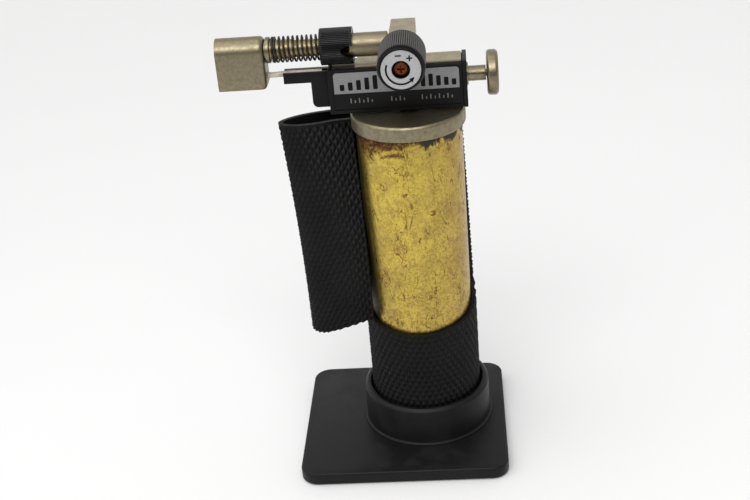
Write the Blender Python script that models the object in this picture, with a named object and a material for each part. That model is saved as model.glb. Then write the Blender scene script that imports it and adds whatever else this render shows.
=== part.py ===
"""Lampwork torch in its stand: a refillable butane micro torch with a peeled rubber sleeve.

Everything is worked out in millimetres and scaled to metres when an object is made.
+X runs from the flame hood to the igniter button, +Y to the back, +Z up.
The origin is on the floor, on the axis of the gas tank.
"""
import math

import bmesh
import bpy
from mathutils import Matrix, Vector

MM = 0.001
FIT = 0.3                # clearance between pieces that rest on or in each other
ROUND_STEPS = 40         # sides of a large round piece
SMALL_STEPS = 16         # sides of a small round piece
SHARP_ANGLE = math.radians(35)

# Stand
PLATE_X = (-40.6, 25.4)
PLATE_Y = (-34.2, 27.5)
PLATE_CORNER = 5.5
PLATE_TOP = 4.3
PLATE_SKIRT = 0.3
PLATE_WALL = 2.0
POCKET_TOP = 3.2
COLLAR_R = 20.6
COLLAR_TOP = 17.5
SOCKET_R = 18.1
SOCKET_FLOOR = 3.0
BOSS_R = 19.3
FOOT_TOP = 1.0

# Tank and sleeve
TANK_R = 16.0
TANK_WALL = 1.0
TANK_BOTTOM = 3.4
TANK_TOP = 107.9
CAP_R = 17.2
CAP_BOTTOM = 108.2
CAP_TOP = 112.9
SPIGOT_R = 14.6
SLEEVE_WALL = 1.5
SLEEVE_MID_R = TANK_R + FIT + SLEEVE_WALL / 2
SLEEVE_BOTTOM = 3.3
SLEEVE_TOP = 107.8
STRIP_START = (12.0, 24.0)   # degrees round the tank where the strip begins, at the cut and at the top
STRIP_END = 138.0            # and where the peeled flap leaves the tank
FLAP_TOP_LINE = ((-14.6, 13.4), (-20.5, 14.0), (-26.6, 12.4), (-32.8, 9.8), (-37.4, 6.6), (-39.3, 3.9),
                 (-37.6, 2.0), (-33.4, 1.7), (-28.0, 3.2), (-22.6, 5.4), (-17.7, 6.2))
FLAP_LOW_LINE = ((-14.3, 12.6), (-19.0, 11.8), (-24.6, 9.2), (-29.8, 5.2), (-33.4, 0.7), (-34.8, -3.5),
                 (-33.8, -7.2), (-30.5, -9.4), (-26.0, -10.4), (-20.4, -10.6), (-14.9, -9.0))
FLAP_TOP_RISE = 0.9          # how far the flap's tip stands above the sleeve's old top edge
FLAP_TIP_DROP = 4.8          # how far the flap's lower edge dips at its tip
FLAP_END_DROP = 1.6          # and at its free end
FLAP_BELLY = 1.6             # how far the front sheet's lower edge hangs below a straight line

# Head
BODY_X = (-22.6, 16.8)
BODY_HALF = 5.1
BODY_Z = (113.6, 127.3)
BODY_WALL = 0.9
END_CAP_X = (17.0, 18.1)
CHASSIS_Z = (126.2, 128.0)
AXIS_Z = 133.0           # height of the burner and the gas knob
STUD_R = 2.5             # stud that ties the head to the tank cap
STUD_HOLE_R = STUD_R + FIT
RISER_R = 2.2            # gas pipe from the tank up to the valve block
RISER_HOLE_R = RISER_R + FIT
MIXING_TUBE_R = 3.5
CLOSED_PITCH = 2.15      # rise of one closed spring turn, in wire radii
PLUNGER_Z = 122.2
ARM_HALF = 2.5
LEAD_Y = -0.4
LEAD_Z = 125.6
RISER_Y = 7.7
KNOB_Y = (-24.6, -9.2)
KNOB_R = 6.8
HOOD_X = (-55.0, -40.6)
HOOD_R = 4.3
HOOD_BOTTOM = 122.0
HOOD_WALL = 0.7
RING_X = (-24.2, -14.6)
RING_R = 5.4
STOP_X = (-40.3, -39.0)
COIL_R = 3.6
COIL_WIRE_R = 0.31
COIL_TURNS = 11
COVER_SCREWS = ((-18.6, 116.2), (-9.0, 116.2), (12.0, 116.2))


# ---------------------------------------------------------------- helpers

def material(name, color, roughness, metallic=0.0):
    """A Principled material of one finish."""
    mat = bpy.data.materials.new(name)
    mat.use_nodes = True
    shader = mat.node_tree.nodes["Principled BSDF"]
    shader.inputs["Base Color"].default_value = (*color, 1.0)
    shader.inputs["Roughness"].default_value = roughness
    shader.inputs["Metallic"].default_value = metallic
    return mat


def finish(bm, name, finish_name, at=(0.0, 0.0, 0.0), parent=None, smooth=True):
    """Turn a bmesh in millimetres, drawn about the point `at`, into a named object in metres."""
    bmesh.ops.recalc_face_normals(bm, faces=bm.faces)
    bm.transform(Matrix.Scale(MM, 4))
    mesh = bpy.data.meshes.new(name)
    bm.to_mesh(mesh)
    bm.free()
    if smooth:
        mesh.shade_smooth()
        mesh.set_sharp_from_angle(angle=SHARP_ANGLE)
    obj = bpy.data.objects.new(name, mesh)
    bpy.context.scene.collection.objects.link(obj)
    obj.location = Vector(at) * MM
    if finish_name:
        mesh.materials.append(bpy.data.materials[finish_name])
    if parent:
        obj.parent = parent
        obj.location -= parent.location
    return obj


def turn_axis(axis):
    """Rotation that carries +Z to the named axis."""
    turns = {
        "Z": Matrix.Identity(4),
        "X": Matrix.Rotation(math.radians(90), 4, "Y"),
        "Y": Matrix.Rotation(math.radians(-90), 4, "X"),
    }
    return turns[axis]


def turned(name, finish_name, outline, axis="Z", at=(0, 0, 0), steps=ROUND_STEPS, parent=None):
    """Solid of revolution of a closed outline of (radius, height) points, about an axis through `at`."""
    bm = bmesh.new()
    points = [bm.verts.new((radius, 0.0, height)) for radius, height in outline]
    edges = [bm.edges.new(pair) for pair in zip(points, points[1:])]
    if min(radius for radius, _ in outline) > 0:
        edges.append(bm.edges.new((points[-1], points[0])))
    bmesh.ops.spin(bm, geom=points + edges, cent=(0, 0, 0), axis=(0, 0, 1),
                   angle=math.tau, steps=steps, use_duplicate=False)
    bmesh.ops.remove_doubles(bm, verts=bm.verts, dist=0.001)
    bm.transform(turn_axis(axis))
    return finish(bm, name, finish_name, at, parent)


def rod(outline_start, outline_end, outer, inner=0.0, chamfer=0.0):
    """Outline of a plain rod or tube between two heights, with its outer edges chamfered."""
    low, high = outline_start, outline_end
    outline = [(inner, low), (outer - chamfer, low), (outer, low + chamfer),
               (outer, high - chamfer), (outer - chamfer, high), (inner, high)]
    return [point for i, point in enumerate(outline) if i == 0 or point != outline[i - 1]]


def block(name, finish_name, low, high, bevel=0.0, segments=2, parent=None):
    """Box between two corners, with all its edges rounded."""
    bm = bmesh.new()
    bmesh.ops.create_cube(bm, size=1.0)
    size = Vector(high) - Vector(low)
    bmesh.ops.scale(bm, vec=size, verts=bm.verts)
    bmesh.ops.translate(bm, vec=(Vector(low) + Vector(high)) / 2, verts=bm.verts)
    if bevel:
        bmesh.ops.bevel(bm, geom=bm.edges[:], offset=bevel, segments=segments, profile=0.5, affect="EDGES")
    return finish(bm, name, finish_name, parent=parent)


def rounded_outline(x_range, y_range, radius, steps=6):
    """Corner points of a rectangle whose four corners are arcs."""
    points = []
    centres = ((x_range[1] - radius, y_range[1] - radius, 0), (x_range[0] + radius, y_range[1] - radius, 90),
               (x_range[0] + radius, y_range[0] + radius, 180), (x_range[1] - radius, y_range[0] + radius, 270))
    for x, y, start in centres:
        for i in range(steps + 1):
            angle = math.radians(start + 90 * i / steps)
            points.append((x + radius * math.cos(angle), y + radius * math.sin(angle)))
    return points


def prism(name, finish_name, outline, span, axis="Z", top_bevel=0.0, bevel_steps=2, parent=None):
    """Extrude an outline along an axis; outline points are (x, y), (x, z) or (y, z) in that order."""
    place = {"Z": lambda a, b, c: (a, b, c), "Y": lambda a, b, c: (a, c, b), "X": lambda a, b, c: (c, a, b)}[axis]
    bm = bmesh.new()
    base = [bm.verts.new(place(a, b, span[0])) for a, b in outline]
    face = bm.faces.new(base)
    lifted = bmesh.ops.extrude_face_region(bm, geom=[face])["geom"]
    step = Vector(place(0, 0, span[1] - span[0]))
    bmesh.ops.translate(bm, vec=step, verts=[v for v in lifted if isinstance(v, bmesh.types.BMVert)])
    bmesh.ops.recalc_face_normals(bm, faces=bm.faces)
    if top_bevel:
        caps = [f for f in lifted if isinstance(f, bmesh.types.BMFace)]
        rim = [edge for edge in caps[0].edges]
        bmesh.ops.bevel(bm, geom=rim, offset=top_bevel, segments=bevel_steps, profile=0.5, affect="EDGES")
    return finish(bm, name, finish_name, parent=parent)


def shape(obj, cutter, operation="DIFFERENCE"):
    """Cut a hidden shape out of an object, or add it, and keep the shape as a guide."""
    cutter.hide_render = True
    cutter.display_type = "WIRE"
    modifier = obj.modifiers.new(cutter.name, "BOOLEAN")
    modifier.operation = operation
    modifier.solver = "EXACT"
    modifier.object = cutter
    return obj


def bore(obj, name, centre, radius, span, axis="Y", steps=SMALL_STEPS):
    """Round hole through an object along an axis; `centre` is a point on that axis."""
    return shape(obj, turned(name, None, rod(span[0], span[1], radius), axis, centre, steps))


def boss(obj, name, centre, radius, span, axis="Y", steps=SMALL_STEPS):
    """Round pillar added to an object along an axis."""
    return shape(obj, turned(name, None, rod(span[0], span[1], radius), axis, centre, steps), "UNION")


def coil(name, finish_name, radius, wire_r, span, turns, axis, at, per_turn=12, sides=6, closed=1.0, parent=None):
    """Compression spring along an axis, with `closed` turns laid side by side at its low end."""
    bm = bmesh.new()
    count = int(per_turn * turns)
    free_turns = turns - closed
    closed_rise = CLOSED_PITCH * wire_r * closed
    free_rise = span[1] - span[0] - 2 * wire_r - closed_rise
    rings = []
    for i in range(count + 1):
        turn = turns * i / count
        height = CLOSED_PITCH * wire_r * min(turn, closed) + free_rise * max(turn - closed, 0.0) / free_turns
        angle = math.tau * turn
        outward = Vector((math.cos(angle), math.sin(angle), 0.0))
        centre = outward * radius + Vector((0, 0, span[0] + wire_r + height))
        ring = []
        for k in range(sides):
            side = math.tau * k / sides
            ring.append(bm.verts.new(centre + outward * wire_r * math.cos(side)
                                     + Vector((0, 0, wire_r * math.sin(side)))))
        rings.append(ring)
    for low, high in zip(rings, rings[1:]):
        for k in range(sides):
            bm.faces.new((low[k], low[(k + 1) % sides], high[(k + 1) % sides], high[k]))
    bm.faces.new(rings[0])
    bm.faces.new(rings[-1])
    bm.transform(turn_axis(axis))
    return finish(bm, name, finish_name, at, parent)


def ring_seal(name, major, minor, axis, at, parent):
    """O-ring: a round section swept round a circle."""
    section = [(major + minor * math.cos(math.tau * k / 6), minor * math.sin(math.tau * k / 6)) for k in range(6)]
    return turned(name, "seal_rubber", section, axis, at, SMALL_STEPS, parent)


def smooth_line(points, count):
    """Evenly numbered points on a Catmull-Rom curve through hand-placed points."""
    ends = [Vector(p) for p in points]
    ends = [ends[0] * 2 - ends[1]] + ends + [ends[-1] * 2 - ends[-2]]
    line = []
    for i in range(count + 1):
        where = (len(points) - 1) * i / count
        k = min(int(where), len(points) - 2)
        t = where - k
        a, b, c, d = ends[k:k + 4]
        line.append(0.5 * (2 * b + (c - a) * t + (2 * a - 5 * b + 4 * c - d) * t * t
                           + (3 * b - a - 3 * c + d) * t ** 3))
    return line


# ---------------------------------------------------------------- stand

def make_stand():
    """Moulded base plate with the collar that holds the torch, its ballast and its foot sheet."""
    base = prism("stand_base", "stand_plastic", rounded_outline(PLATE_X, PLATE_Y, PLATE_CORNER),
                 (PLATE_SKIRT, PLATE_TOP), top_bevel=0.5)

    def inset(amount):
        return rounded_outline((PLATE_X[0] + amount, PLATE_X[1] - amount),
                               (PLATE_Y[0] + amount, PLATE_Y[1] - amount), PLATE_CORNER - amount)

    shape(base, prism("cut_pocket", None, inset(PLATE_WALL), (-1.0, POCKET_TOP)))
    collar = [(0.0, FOOT_TOP + FIT), (BOSS_R, FOOT_TOP + FIT), (BOSS_R, PLATE_TOP - 0.6),
              (COLLAR_R + 0.6, PLATE_TOP - 0.6), (COLLAR_R + 0.6, PLATE_TOP + 0.5), (COLLAR_R, PLATE_TOP + 0.9),
              (COLLAR_R - 0.2, COLLAR_TOP - 0.8), (COLLAR_R - 1.0, COLLAR_TOP), (0.0, COLLAR_TOP)]
    shape(base, turned("add_collar", None, collar), "UNION")
    socket = [(0.0, SOCKET_FLOOR), (SOCKET_R, SOCKET_FLOOR), (SOCKET_R, COLLAR_TOP - 0.6),
              (SOCKET_R + 1.1, COLLAR_TOP + 0.5), (SOCKET_R + 1.1, COLLAR_TOP + 2), (0.0, COLLAR_TOP + 2)]
    shape(base, turned("cut_socket", None, socket))

    ballast = prism("ballast_plate", "ballast_steel", inset(PLATE_WALL + FIT), (FOOT_TOP + FIT, POCKET_TOP - FIT))
    bore(ballast, "cut_ballast", (0, 0, 0), BOSS_R + FIT, (0.0, 4.0), "Z", ROUND_STEPS)
    prism("foot_sheet", "foot_rubber", inset(PLATE_WALL + FIT), (0.0, FOOT_TOP))


# ---------------------------------------------------------------- tank

def make_tank(torch):
    """Drawn brass tank, its cap with seal, and the refill valve in its bottom."""
    inner = TANK_R - TANK_WALL
    floor = TANK_BOTTOM + 1.4
    turned("tank_shell", "tank_brass",
           [(4.3, TANK_BOTTOM), (TANK_R - 1.5, TANK_BOTTOM), (TANK_R - 0.4, TANK_BOTTOM + 0.5),
            (TANK_R, TANK_BOTTOM + 1.5), (TANK_R, TANK_TOP), (inner, TANK_TOP),
            (inner, floor + 1.0), (inner - 1.0, floor), (4.3, floor)], parent=torch)
    cap = turned("tank_cap", "nickel",
                 [(0.0, 102.2), (SPIGOT_R - 0.5, 102.2), (SPIGOT_R, 102.7), (SPIGOT_R, 104.2), (12.9, 104.2),
                  (12.9, 106.4), (SPIGOT_R, 106.4), (SPIGOT_R, CAP_BOTTOM), (CAP_R - 0.3, CAP_BOTTOM),
                  (CAP_R, CAP_BOTTOM + 0.3), (CAP_R, CAP_TOP - 0.9), (CAP_R - 0.25, CAP_TOP - 0.3),
                  (CAP_R - 0.9, CAP_TOP), (0.0, CAP_TOP)], parent=torch)
    bore(cap, "cut_cap_riser", (0, RISER_Y, 0), RISER_HOLE_R, (100.0, 114.0), "Z")
    bore(cap, "cut_cap_stud", (0, 0, 0), STUD_HOLE_R, (104.6, 114.0), "Z")
    ring_seal("tank_seal", 13.95, 0.72, "Z", (0, 0, 105.3), torch)

    turned("refill_valve_body", "valve_brass",
           [(1.8, 3.9), (4.0, 3.9), (4.0, floor + FIT), (5.6, floor + FIT), (5.6, 6.3), (4.0, 6.3), (4.0, 16.0),
            (1.3, 16.0), (1.3, 15.0), (2.7, 15.0), (2.7, 6.0), (1.8, 6.0)], steps=SMALL_STEPS, parent=torch)
    turned("refill_valve_stem", "valve_brass",
           [(0.0, 4.2), (1.3, 4.2), (1.3, 7.1), (2.3, 7.1), (2.3, 7.8), (0.8, 7.8), (0.8, 13.2), (0.0, 13.2)],
           steps=SMALL_STEPS, parent=torch)
    ring_seal("refill_valve_seal", 1.9, 0.34, "Z", (0, 0, 6.5), torch)
    coil("refill_valve_spring", "spring_steel", 1.7, 0.2, (8.0, 14.7), 6, "Z", (0, 0, 0), 8, 5, parent=torch)


def sleeve_cut_height(angle):
    """Height of the wavy knife cut round the tank, at an angle in degrees from +X."""
    towards_back = (1 + math.sin(math.radians(angle))) / 2
    return 43.4 + 8.0 * towards_back * (1 - towards_back / 2)


def make_sleeve(torch):
    """Rubber sleeve: whole band at the bottom, a strip behind the tank, and the flap peeled off to the left."""
    strip_columns = 14
    front_columns = 26
    flap_columns = 30
    upper_rows = 9
    band_heights = (SLEEVE_BOTTOM, 12.0, 21.0, 30.0, 38.0)
    bm = bmesh.new()

    def round_tank(angle, height):
        a = math.radians(angle)
        return bm.verts.new((SLEEVE_MID_R * math.cos(a), SLEEVE_MID_R * math.sin(a), height))

    def strip_angle(i, up):
        start = STRIP_START[0] + (STRIP_START[1] - STRIP_START[0]) * up
        return start + (STRIP_END - start) * i / strip_columns

    strip_angles = [strip_angle(i, 0.0) for i in range(strip_columns + 1)]
    span = STRIP_START[0] + 360 - STRIP_END
    front_angles = [STRIP_END + span * i / front_columns for i in range(1, front_columns)]
    band = []
    for angle in strip_angles + front_angles:
        heights = band_heights + (sleeve_cut_height(angle),)
        band.append([round_tank(angle, height) for height in heights])
    for i, column in enumerate(band):
        other = band[(i + 1) % len(band)]
        for low in range(len(band_heights)):
            bm.faces.new((column[low], other[low], other[low + 1], column[low + 1]))

    hinge = math.radians(STRIP_END)
    leave = Vector((SLEEVE_MID_R * math.cos(hinge), SLEEVE_MID_R * math.sin(hinge)))
    upper = []
    for i, column in enumerate(band[:strip_columns + 1]):
        foot = column[-1].co.z
        rows = [row / upper_rows for row in range(1, upper_rows + 1)]
        upper.append([column[-1]] + [round_tank(strip_angle(i, up), foot + (SLEEVE_TOP - foot) * up) for up in rows])
    foot = sleeve_cut_height(STRIP_END)
    top_line = smooth_line((leave,) + FLAP_TOP_LINE, flap_columns)
    low_line = smooth_line((leave,) + FLAP_LOW_LINE, flap_columns)
    for i in range(1, flap_columns + 1):
        along = i / flap_columns
        reach = math.sin(math.pi * along) ** 2
        belly = math.sin(math.pi * max(0.0, 2 * along - 1)) ** 2
        low = foot - FLAP_TIP_DROP * reach - FLAP_END_DROP * along - FLAP_BELLY * belly
        high = SLEEVE_TOP + FLAP_TOP_RISE * reach
        column = []
        for row in range(upper_rows + 1):
            up = row / upper_rows
            place = low_line[i].lerp(top_line[i], up * up)
            column.append(bm.verts.new((place.x, place.y, low + (high - low) * up)))
        upper.append(column)
    for column, other in zip(upper, upper[1:]):
        for row in range(upper_rows):
            bm.faces.new((column[row], other[row], other[row + 1], column[row + 1]))

    sleeve = finish(bm, "grip_sleeve", "sleeve_rubber", parent=torch)
    solid = sleeve.modifiers.new("wall", "SOLIDIFY")
    solid.thickness = SLEEVE_WALL * MM
    solid.offset = 0.0
    solid.use_rim = True
    return sleeve


# ---------------------------------------------------------------- head

def cover_shell(name, side, torch):
    """Half of the head's casing: side -1 is the front, +1 the back. It is open at the top and at the right."""
    outer, split = side * BODY_HALF, side * 0.15
    inner = side * (BODY_HALF - BODY_WALL)
    low_y, high_y = sorted((outer, split))
    cover = block(name, "head_plastic", (BODY_X[0], low_y, BODY_Z[0]), (BODY_X[1], high_y, BODY_Z[1]),
                  bevel=0.35, parent=torch)
    low_y, high_y = sorted((inner, -side * 2.0))
    hollow = block("cut_hollow_" + name, None, (BODY_X[0] + BODY_WALL, low_y, BODY_Z[0] + BODY_WALL),
                   (BODY_X[1] + 2, high_y, BODY_Z[1] + 2))
    shape(cover, hollow)
    for i, (x, z) in enumerate(COVER_SCREWS):
        span = sorted((side * (BODY_HALF - 0.6), side * 0.32))
        boss(cover, f"add_boss_{name}_{i}", (x, 0, z), 2.1, span)
    return cover


def make_head(torch):
    """Casing halves, chassis plate, end cap, electrode arm and the fasteners that hold them."""
    front = cover_shell("front_cover", -1, torch)
    rear = cover_shell("rear_cover", 1, torch)
    panel = block("cut_panel", None, (-21.3, -6.0, 114.8), (16.2, -4.8, 126.6))
    shape(front, panel)
    for cover, tag in ((front, "front"), (rear, "rear")):
        bore(cover, "cut_stud_" + tag, (0, 0, 0), STUD_HOLE_R, (112.0, 115.2), "Z")
        bore(cover, "cut_lead_" + tag, (0, LEAD_Y, LEAD_Z), 1.15, (-24.0, -21.0), "X")
    for i, (x, z) in enumerate(COVER_SCREWS):
        bore(rear, f"cut_head_{i}", (x, 0, z), 1.65, (4.0, 6.0))
        bore(rear, f"cut_shank_{i}", (x, 0, z), 1.1, (-0.5, 4.5))
        bore(front, f"cut_pilot_{i}", (x, 0, z), 1.0, (-3.8, 1.0))
        screw = turned(f"cover_screw_{i + 1}", "screw_steel",
                       [(0.0, -3.4), (0.8, -3.4), (0.8, 4.15), (1.4, 4.3), (1.4, 4.9), (1.1, 5.0), (0.0, 5.0)],
                       "Y", (x, 0, z), SMALL_STEPS, torch)
        slot = block(f"cut_slot_{i}", None, (x - 1.6, 4.7, z - 0.22), (x + 1.6, 5.5, z + 0.22))
        shape(screw, slot)

    block("label_plate", "label_silver", (-20.9, -5.04, 119.9), (15.8, -4.86, 126.3), parent=torch)
    plate = [(-21.3, CHASSIS_Z[0]), (16.6, CHASSIS_Z[0]), (16.6, CHASSIS_Z[1]), (-14.0, CHASSIS_Z[1]),
             (-14.0, BODY_Z[1]), (-21.3, BODY_Z[1])]
    prism("chassis_plate", "nickel", plate, (-3.9, 3.9), "Y", parent=torch)
    cap = block("head_end_cap", "head_plastic", (END_CAP_X[0], -BODY_HALF, BODY_Z[0]),
                (END_CAP_X[1], BODY_HALF, CHASSIS_Z[1]), bevel=0.35, parent=torch)
    bore(cap, "cut_bushing", (0, 0, PLUNGER_Z), 3.7, (16.0, 19.0), "X")
    turned("head_stud", "nickel",
           [(0.0, 105.0), (STUD_R, 105.0), (STUD_R, 114.8), (3.9, 114.8), (3.9, 116.6), (3.3, 117.2), (0.0, 117.2)],
           steps=SMALL_STEPS, parent=torch)
    make_arm(torch)


def make_arm(torch):
    """Insulating arm at the left end of the head: a block below and an open channel for the lead on top."""
    left, knee, right = -35.8, -27.8, BODY_X[0] - FIT
    low, step, top = 115.2, 123.0, 126.2
    corner = [(knee + 1.6 - 1.6 * math.cos(math.radians(a)), low + 1.6 - 1.6 * math.sin(math.radians(a)))
              for a in range(0, 91, 15)]
    outline = [(left, top), (left, step), (knee, step)] + corner + [(right, low), (right, top)]
    arm = prism("electrode_arm", "head_plastic", outline, (-ARM_HALF, ARM_HALF), "Y", parent=torch)
    rear_wall, front_wall = 0.7, -1.5
    channel = [(rear_wall, top + 1), (front_wall, top + 1), (front_wall, top - 1.8), (rear_wall, top - 1.8)]
    shape(arm, prism("cut_channel", None, channel, (left - 1, right + 1), "X"))


def make_ignition(torch, plunger):
    """Piezo unit, plunger with its button and spring, and the lead to the spark gap in the hood."""
    axis = (0, 0, PLUNGER_Z)
    turned("piezo_unit", "piezo_plastic",
           [(0.0, -18.4), (1.5, -18.4), (1.5, -17.3), (3.4, -17.3), (3.7, -17.0), (3.7, 1.0), (0.0, 1.0)],
           "X", axis, SMALL_STEPS, torch)
    coil("plunger_spring", "spring_steel", 2.5, 0.27, (1.3, 8.6), 5, "X", axis, 10, 5, parent=torch)
    turned("plunger_bushing", "nickel", rod(12.8, 18.5, 3.4, 2.55, 0.2), "X", axis, SMALL_STEPS, torch)

    local = (0, 0, PLUNGER_Z)
    turned("plunger_shaft", "nickel",
           [(0.0, 8.9), (3.1, 8.9), (3.1, 10.4), (2.25, 10.4), (2.25, 23.6), (1.0, 23.6), (1.0, 25.4), (0.0, 25.4)],
           "X", local, SMALL_STEPS, plunger)
    turned("igniter_button", "nickel",
           [(0.0, 25.7), (1.3, 25.7), (1.3, 23.9), (6.0, 23.9), (6.5, 24.1), (6.65, 24.6), (6.65, 26.5),
            (6.45, 27.1), (5.9, 27.3), (0.0, 27.3)], "X", local, ROUND_STEPS, plunger)

    lead = ((-24.4, LEAD_Z), (-30.0, LEAD_Z), (-36.0, LEAD_Z), (-39.0, LEAD_Z - 0.1), (-43.0, LEAD_Z - 0.1))
    wire = ((-18.8, 124.2), (-21.0, LEAD_Z), (-24.4, LEAD_Z), (-30.0, LEAD_Z), (-36.0, LEAD_Z),
            (-39.0, LEAD_Z - 0.1), (-43.0, LEAD_Z - 0.1), (-46.4, 126.6), (-47.0, 127.8))
    tube_along("spark_lead", "lead_insulation", lead, 0.85, 0.45, 10, torch)
    tube_along("electrode_wire", "copper", wire, 0.24, 0.0, 18, torch)


def tube_along(name, finish_name, route, outer, inner, count, parent, sides=8):
    """Round lead along a route of (x, z) points in the plane y = LEAD_Y; hollow when `inner` is not zero."""
    bm = bmesh.new()
    line = smooth_line(route, count)
    walls = []
    for radius in [r for r in (outer, inner) if r > 0]:
        rings = []
        for i, place in enumerate(line):
            ahead = line[min(i + 1, count)] - line[max(i - 1, 0)]
            side = Vector((-ahead.y, ahead.x)).normalized()
            ring = []
            for k in range(sides):
                a = math.tau * k / sides
                spot = place + side * radius * math.cos(a)
                ring.append(bm.verts.new((spot.x, LEAD_Y + radius * math.sin(a), spot.y)))
            rings.append(ring)
        for low, high in zip(rings, rings[1:]):
            for k in range(sides):
                bm.faces.new((low[k], low[(k + 1) % sides], high[(k + 1) % sides], high[k]))
        walls.append(rings)
    for end in (0, -1):
        if inner > 0:
            outside, inside = walls[0][end], walls[1][end]
            for k in range(sides):
                bm.faces.new((outside[k], outside[(k + 1) % sides], inside[(k + 1) % sides], inside[k]))
        else:
            bm.faces.new(walls[0][end])
    return finish(bm, name, finish_name, parent=parent)


# ---------------------------------------------------------------- valve and burner

def make_valve(torch, knob):
    """Valve block with its riser pipe and filter, and the knob with everything that turns with it."""
    block_outline = [(-4.0, -7.6), (4.0, -7.6), (3.65, 10.4), (-3.65, 10.4)]
    valve = prism("valve_block", "nickel", block_outline, (CHASSIS_Z[1] + FIT, 137.0), top_bevel=0.35, parent=torch)
    axis = (0, 0, AXIS_Z)
    shape(valve, turned("cut_spindle", None, [(0.0, -9.0), (2.9, -9.0), (2.9, -4.6), (1.8, -4.6), (1.8, 1.2),
                                              (0.0, 1.2)], "Y", axis, SMALL_STEPS))
    bore(valve, "cut_jet", axis, 2.3, (-6.0, -2.3), "X", 20)
    bore(valve, "cut_gas_passage", axis, 0.6, (-2.6, 0.1), "X", 10)
    bore(valve, "cut_riser", (0, RISER_Y, 0), RISER_HOLE_R, (126.0, 131.2), "Z")
    turned("gas_riser", "nickel", rod(104.2, 130.9, RISER_R, 1.2, 0.2), "Z", (0, RISER_Y, 0), SMALL_STEPS, torch)
    turned("pickup_filter", "filter_bronze",
           [(0.0, 94.5), (2.3, 94.5), (2.6, 94.9), (2.6, 101.5), (2.3, 101.9), (0.9, 101.9), (0.9, 106.0),
            (0.0, 106.0)], "Z", (0, RISER_Y, 0), SMALL_STEPS, torch)
    ring_seal("spindle_seal", 2.2, 0.45, "Y", (0, -5.6, AXIS_Z), torch)
    turned("packing_nut", "nickel", rod(-10.2, -7.9, 3.4, 1.8, 0.3), "Y", axis, 6, torch)
    turned("gas_jet", "valve_brass", rod(-9.4, -2.6, 2.0, 0.35, 0.3), "X", axis, SMALL_STEPS, torch)

    turned("needle_spindle", "spring_steel",
           [(0.0, 0.9), (0.35, 0.4), (1.5, -1.6), (1.5, -21.2), (1.1, -21.2), (1.1, -17.0), (0.0, -17.0)],
           "Y", (0, 0, AXIS_Z), SMALL_STEPS, knob)
    low, high = KNOB_Y
    turned("gas_knob", "knob_plastic",
           [(1.8, high - 3.6), (4.3, high - 3.6), (4.3, high), (KNOB_R - 0.4, high), (KNOB_R, high - 0.4),
            (KNOB_R, low + 1.5), (KNOB_R - 0.35, low + 0.3), (KNOB_R - 0.6, low), (5.8, low), (5.8, low + 0.55),
            (2.45, low + 0.55), (2.45, low + 2.3), (1.8, low + 2.3)], "Y", (0, 0, AXIS_Z), ROUND_STEPS, knob)
    turned("knob_label", "label_silver", rod(low + 0.12, low + 0.4, 5.6, 2.6), "Y", (0, 0, AXIS_Z),
           ROUND_STEPS, knob)
    screw = turned("knob_screw", "screw_copper",
                   [(0.0, low + 0.7), (1.4, low + 0.75), (2.1, low + 1.15), (2.1, low + 2.0), (0.8, low + 2.0),
                    (0.8, low + 6.8), (0.0, low + 6.8)], "Y", (0, 0, AXIS_Z), SMALL_STEPS, knob)
    for tag, half_x, half_z in (("across", 1.1, 0.25), ("upright", 0.25, 1.1)):
        shape(screw, block("cut_cross_" + tag, None, (-half_x, low, AXIS_Z - half_z),
                           (half_x, low + 1.6, AXIS_Z + half_z)))


def make_burner(torch, ring):
    """Mixing tube, air ring, spring, barrel and the flame hood."""
    axis = (0, 0, AXIS_Z)
    mixing = turned("mixing_tube", "nickel", rod(-23.9, -4.4, MIXING_TUBE_R, 2.45, 0.15), "X", axis, 32, torch)
    bore(mixing, "cut_air_hole", (-16.9, 0, AXIS_Z), 1.5, (-5.0, 5.0))
    collar = turned("air_ring", "ring_plastic", rod(RING_X[0], RING_X[1], RING_R, MIXING_TUBE_R + FIT, 0.25), "X",
                    axis, ROUND_STEPS, ring)
    notch = [(RING_X[1] + 1, AXIS_Z + 1.4), (RING_X[1] - 1.4, AXIS_Z + 1.5), (RING_X[1] - 3.6, AXIS_Z + 0.4),
             (RING_X[1] - 3.2, AXIS_Z - 1.0), (RING_X[1] - 1.2, AXIS_Z - 2.4), (RING_X[1] + 1, AXIS_Z - 2.6)]
    shape(collar, prism("cut_air_notch", None, notch, (-7.0, -2.0), "Y"))
    turned("burner_barrel", "nickel",
           [(1.5, -46.4), (2.4, -46.4), (2.85, -45.9), (2.85, -32.0), (2.5, -31.8), (2.5, -24.2), (2.1, -24.2),
            (2.1, -18.4), (1.5, -18.4)], "X", axis, SMALL_STEPS, torch)
    turned("stop_ring", "nickel", rod(STOP_X[0], STOP_X[1], 3.85, 3.05, 0.2), "X", axis, 32, torch)
    coil("barrel_spring", "spring_dark", COIL_R, COIL_WIRE_R, (STOP_X[1] + 0.1, RING_X[0] - 0.1), COIL_TURNS,
         "X", axis, closed=1.5, parent=torch)
    turned("flame_holder", "valve_brass", rod(-46.2, -43.0, 1.2, 0.4, 0.2), "X", axis, SMALL_STEPS, torch)
    make_hood(torch)


def hood_outline(inset):
    """Section of the hood: round over the burner, flat sides, rounded lower corners; (y, z) points."""
    radius, corner, steps = HOOD_R - inset, 1.5 - inset / 2, 4
    half, low = HOOD_R - inset, HOOD_BOTTOM + inset
    points = [(radius * math.cos(math.radians(a)), AXIS_Z + radius * math.sin(math.radians(a)))
              for a in range(0, 181, 15)]
    for start, side in ((180, -1), (270, 1)):
        for i in range(steps + 1):
            angle = math.radians(start + 90 * i / steps)
            points.append((side * (half - corner) + corner * math.cos(angle), low + corner + corner * math.sin(angle)))
    return points


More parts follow.
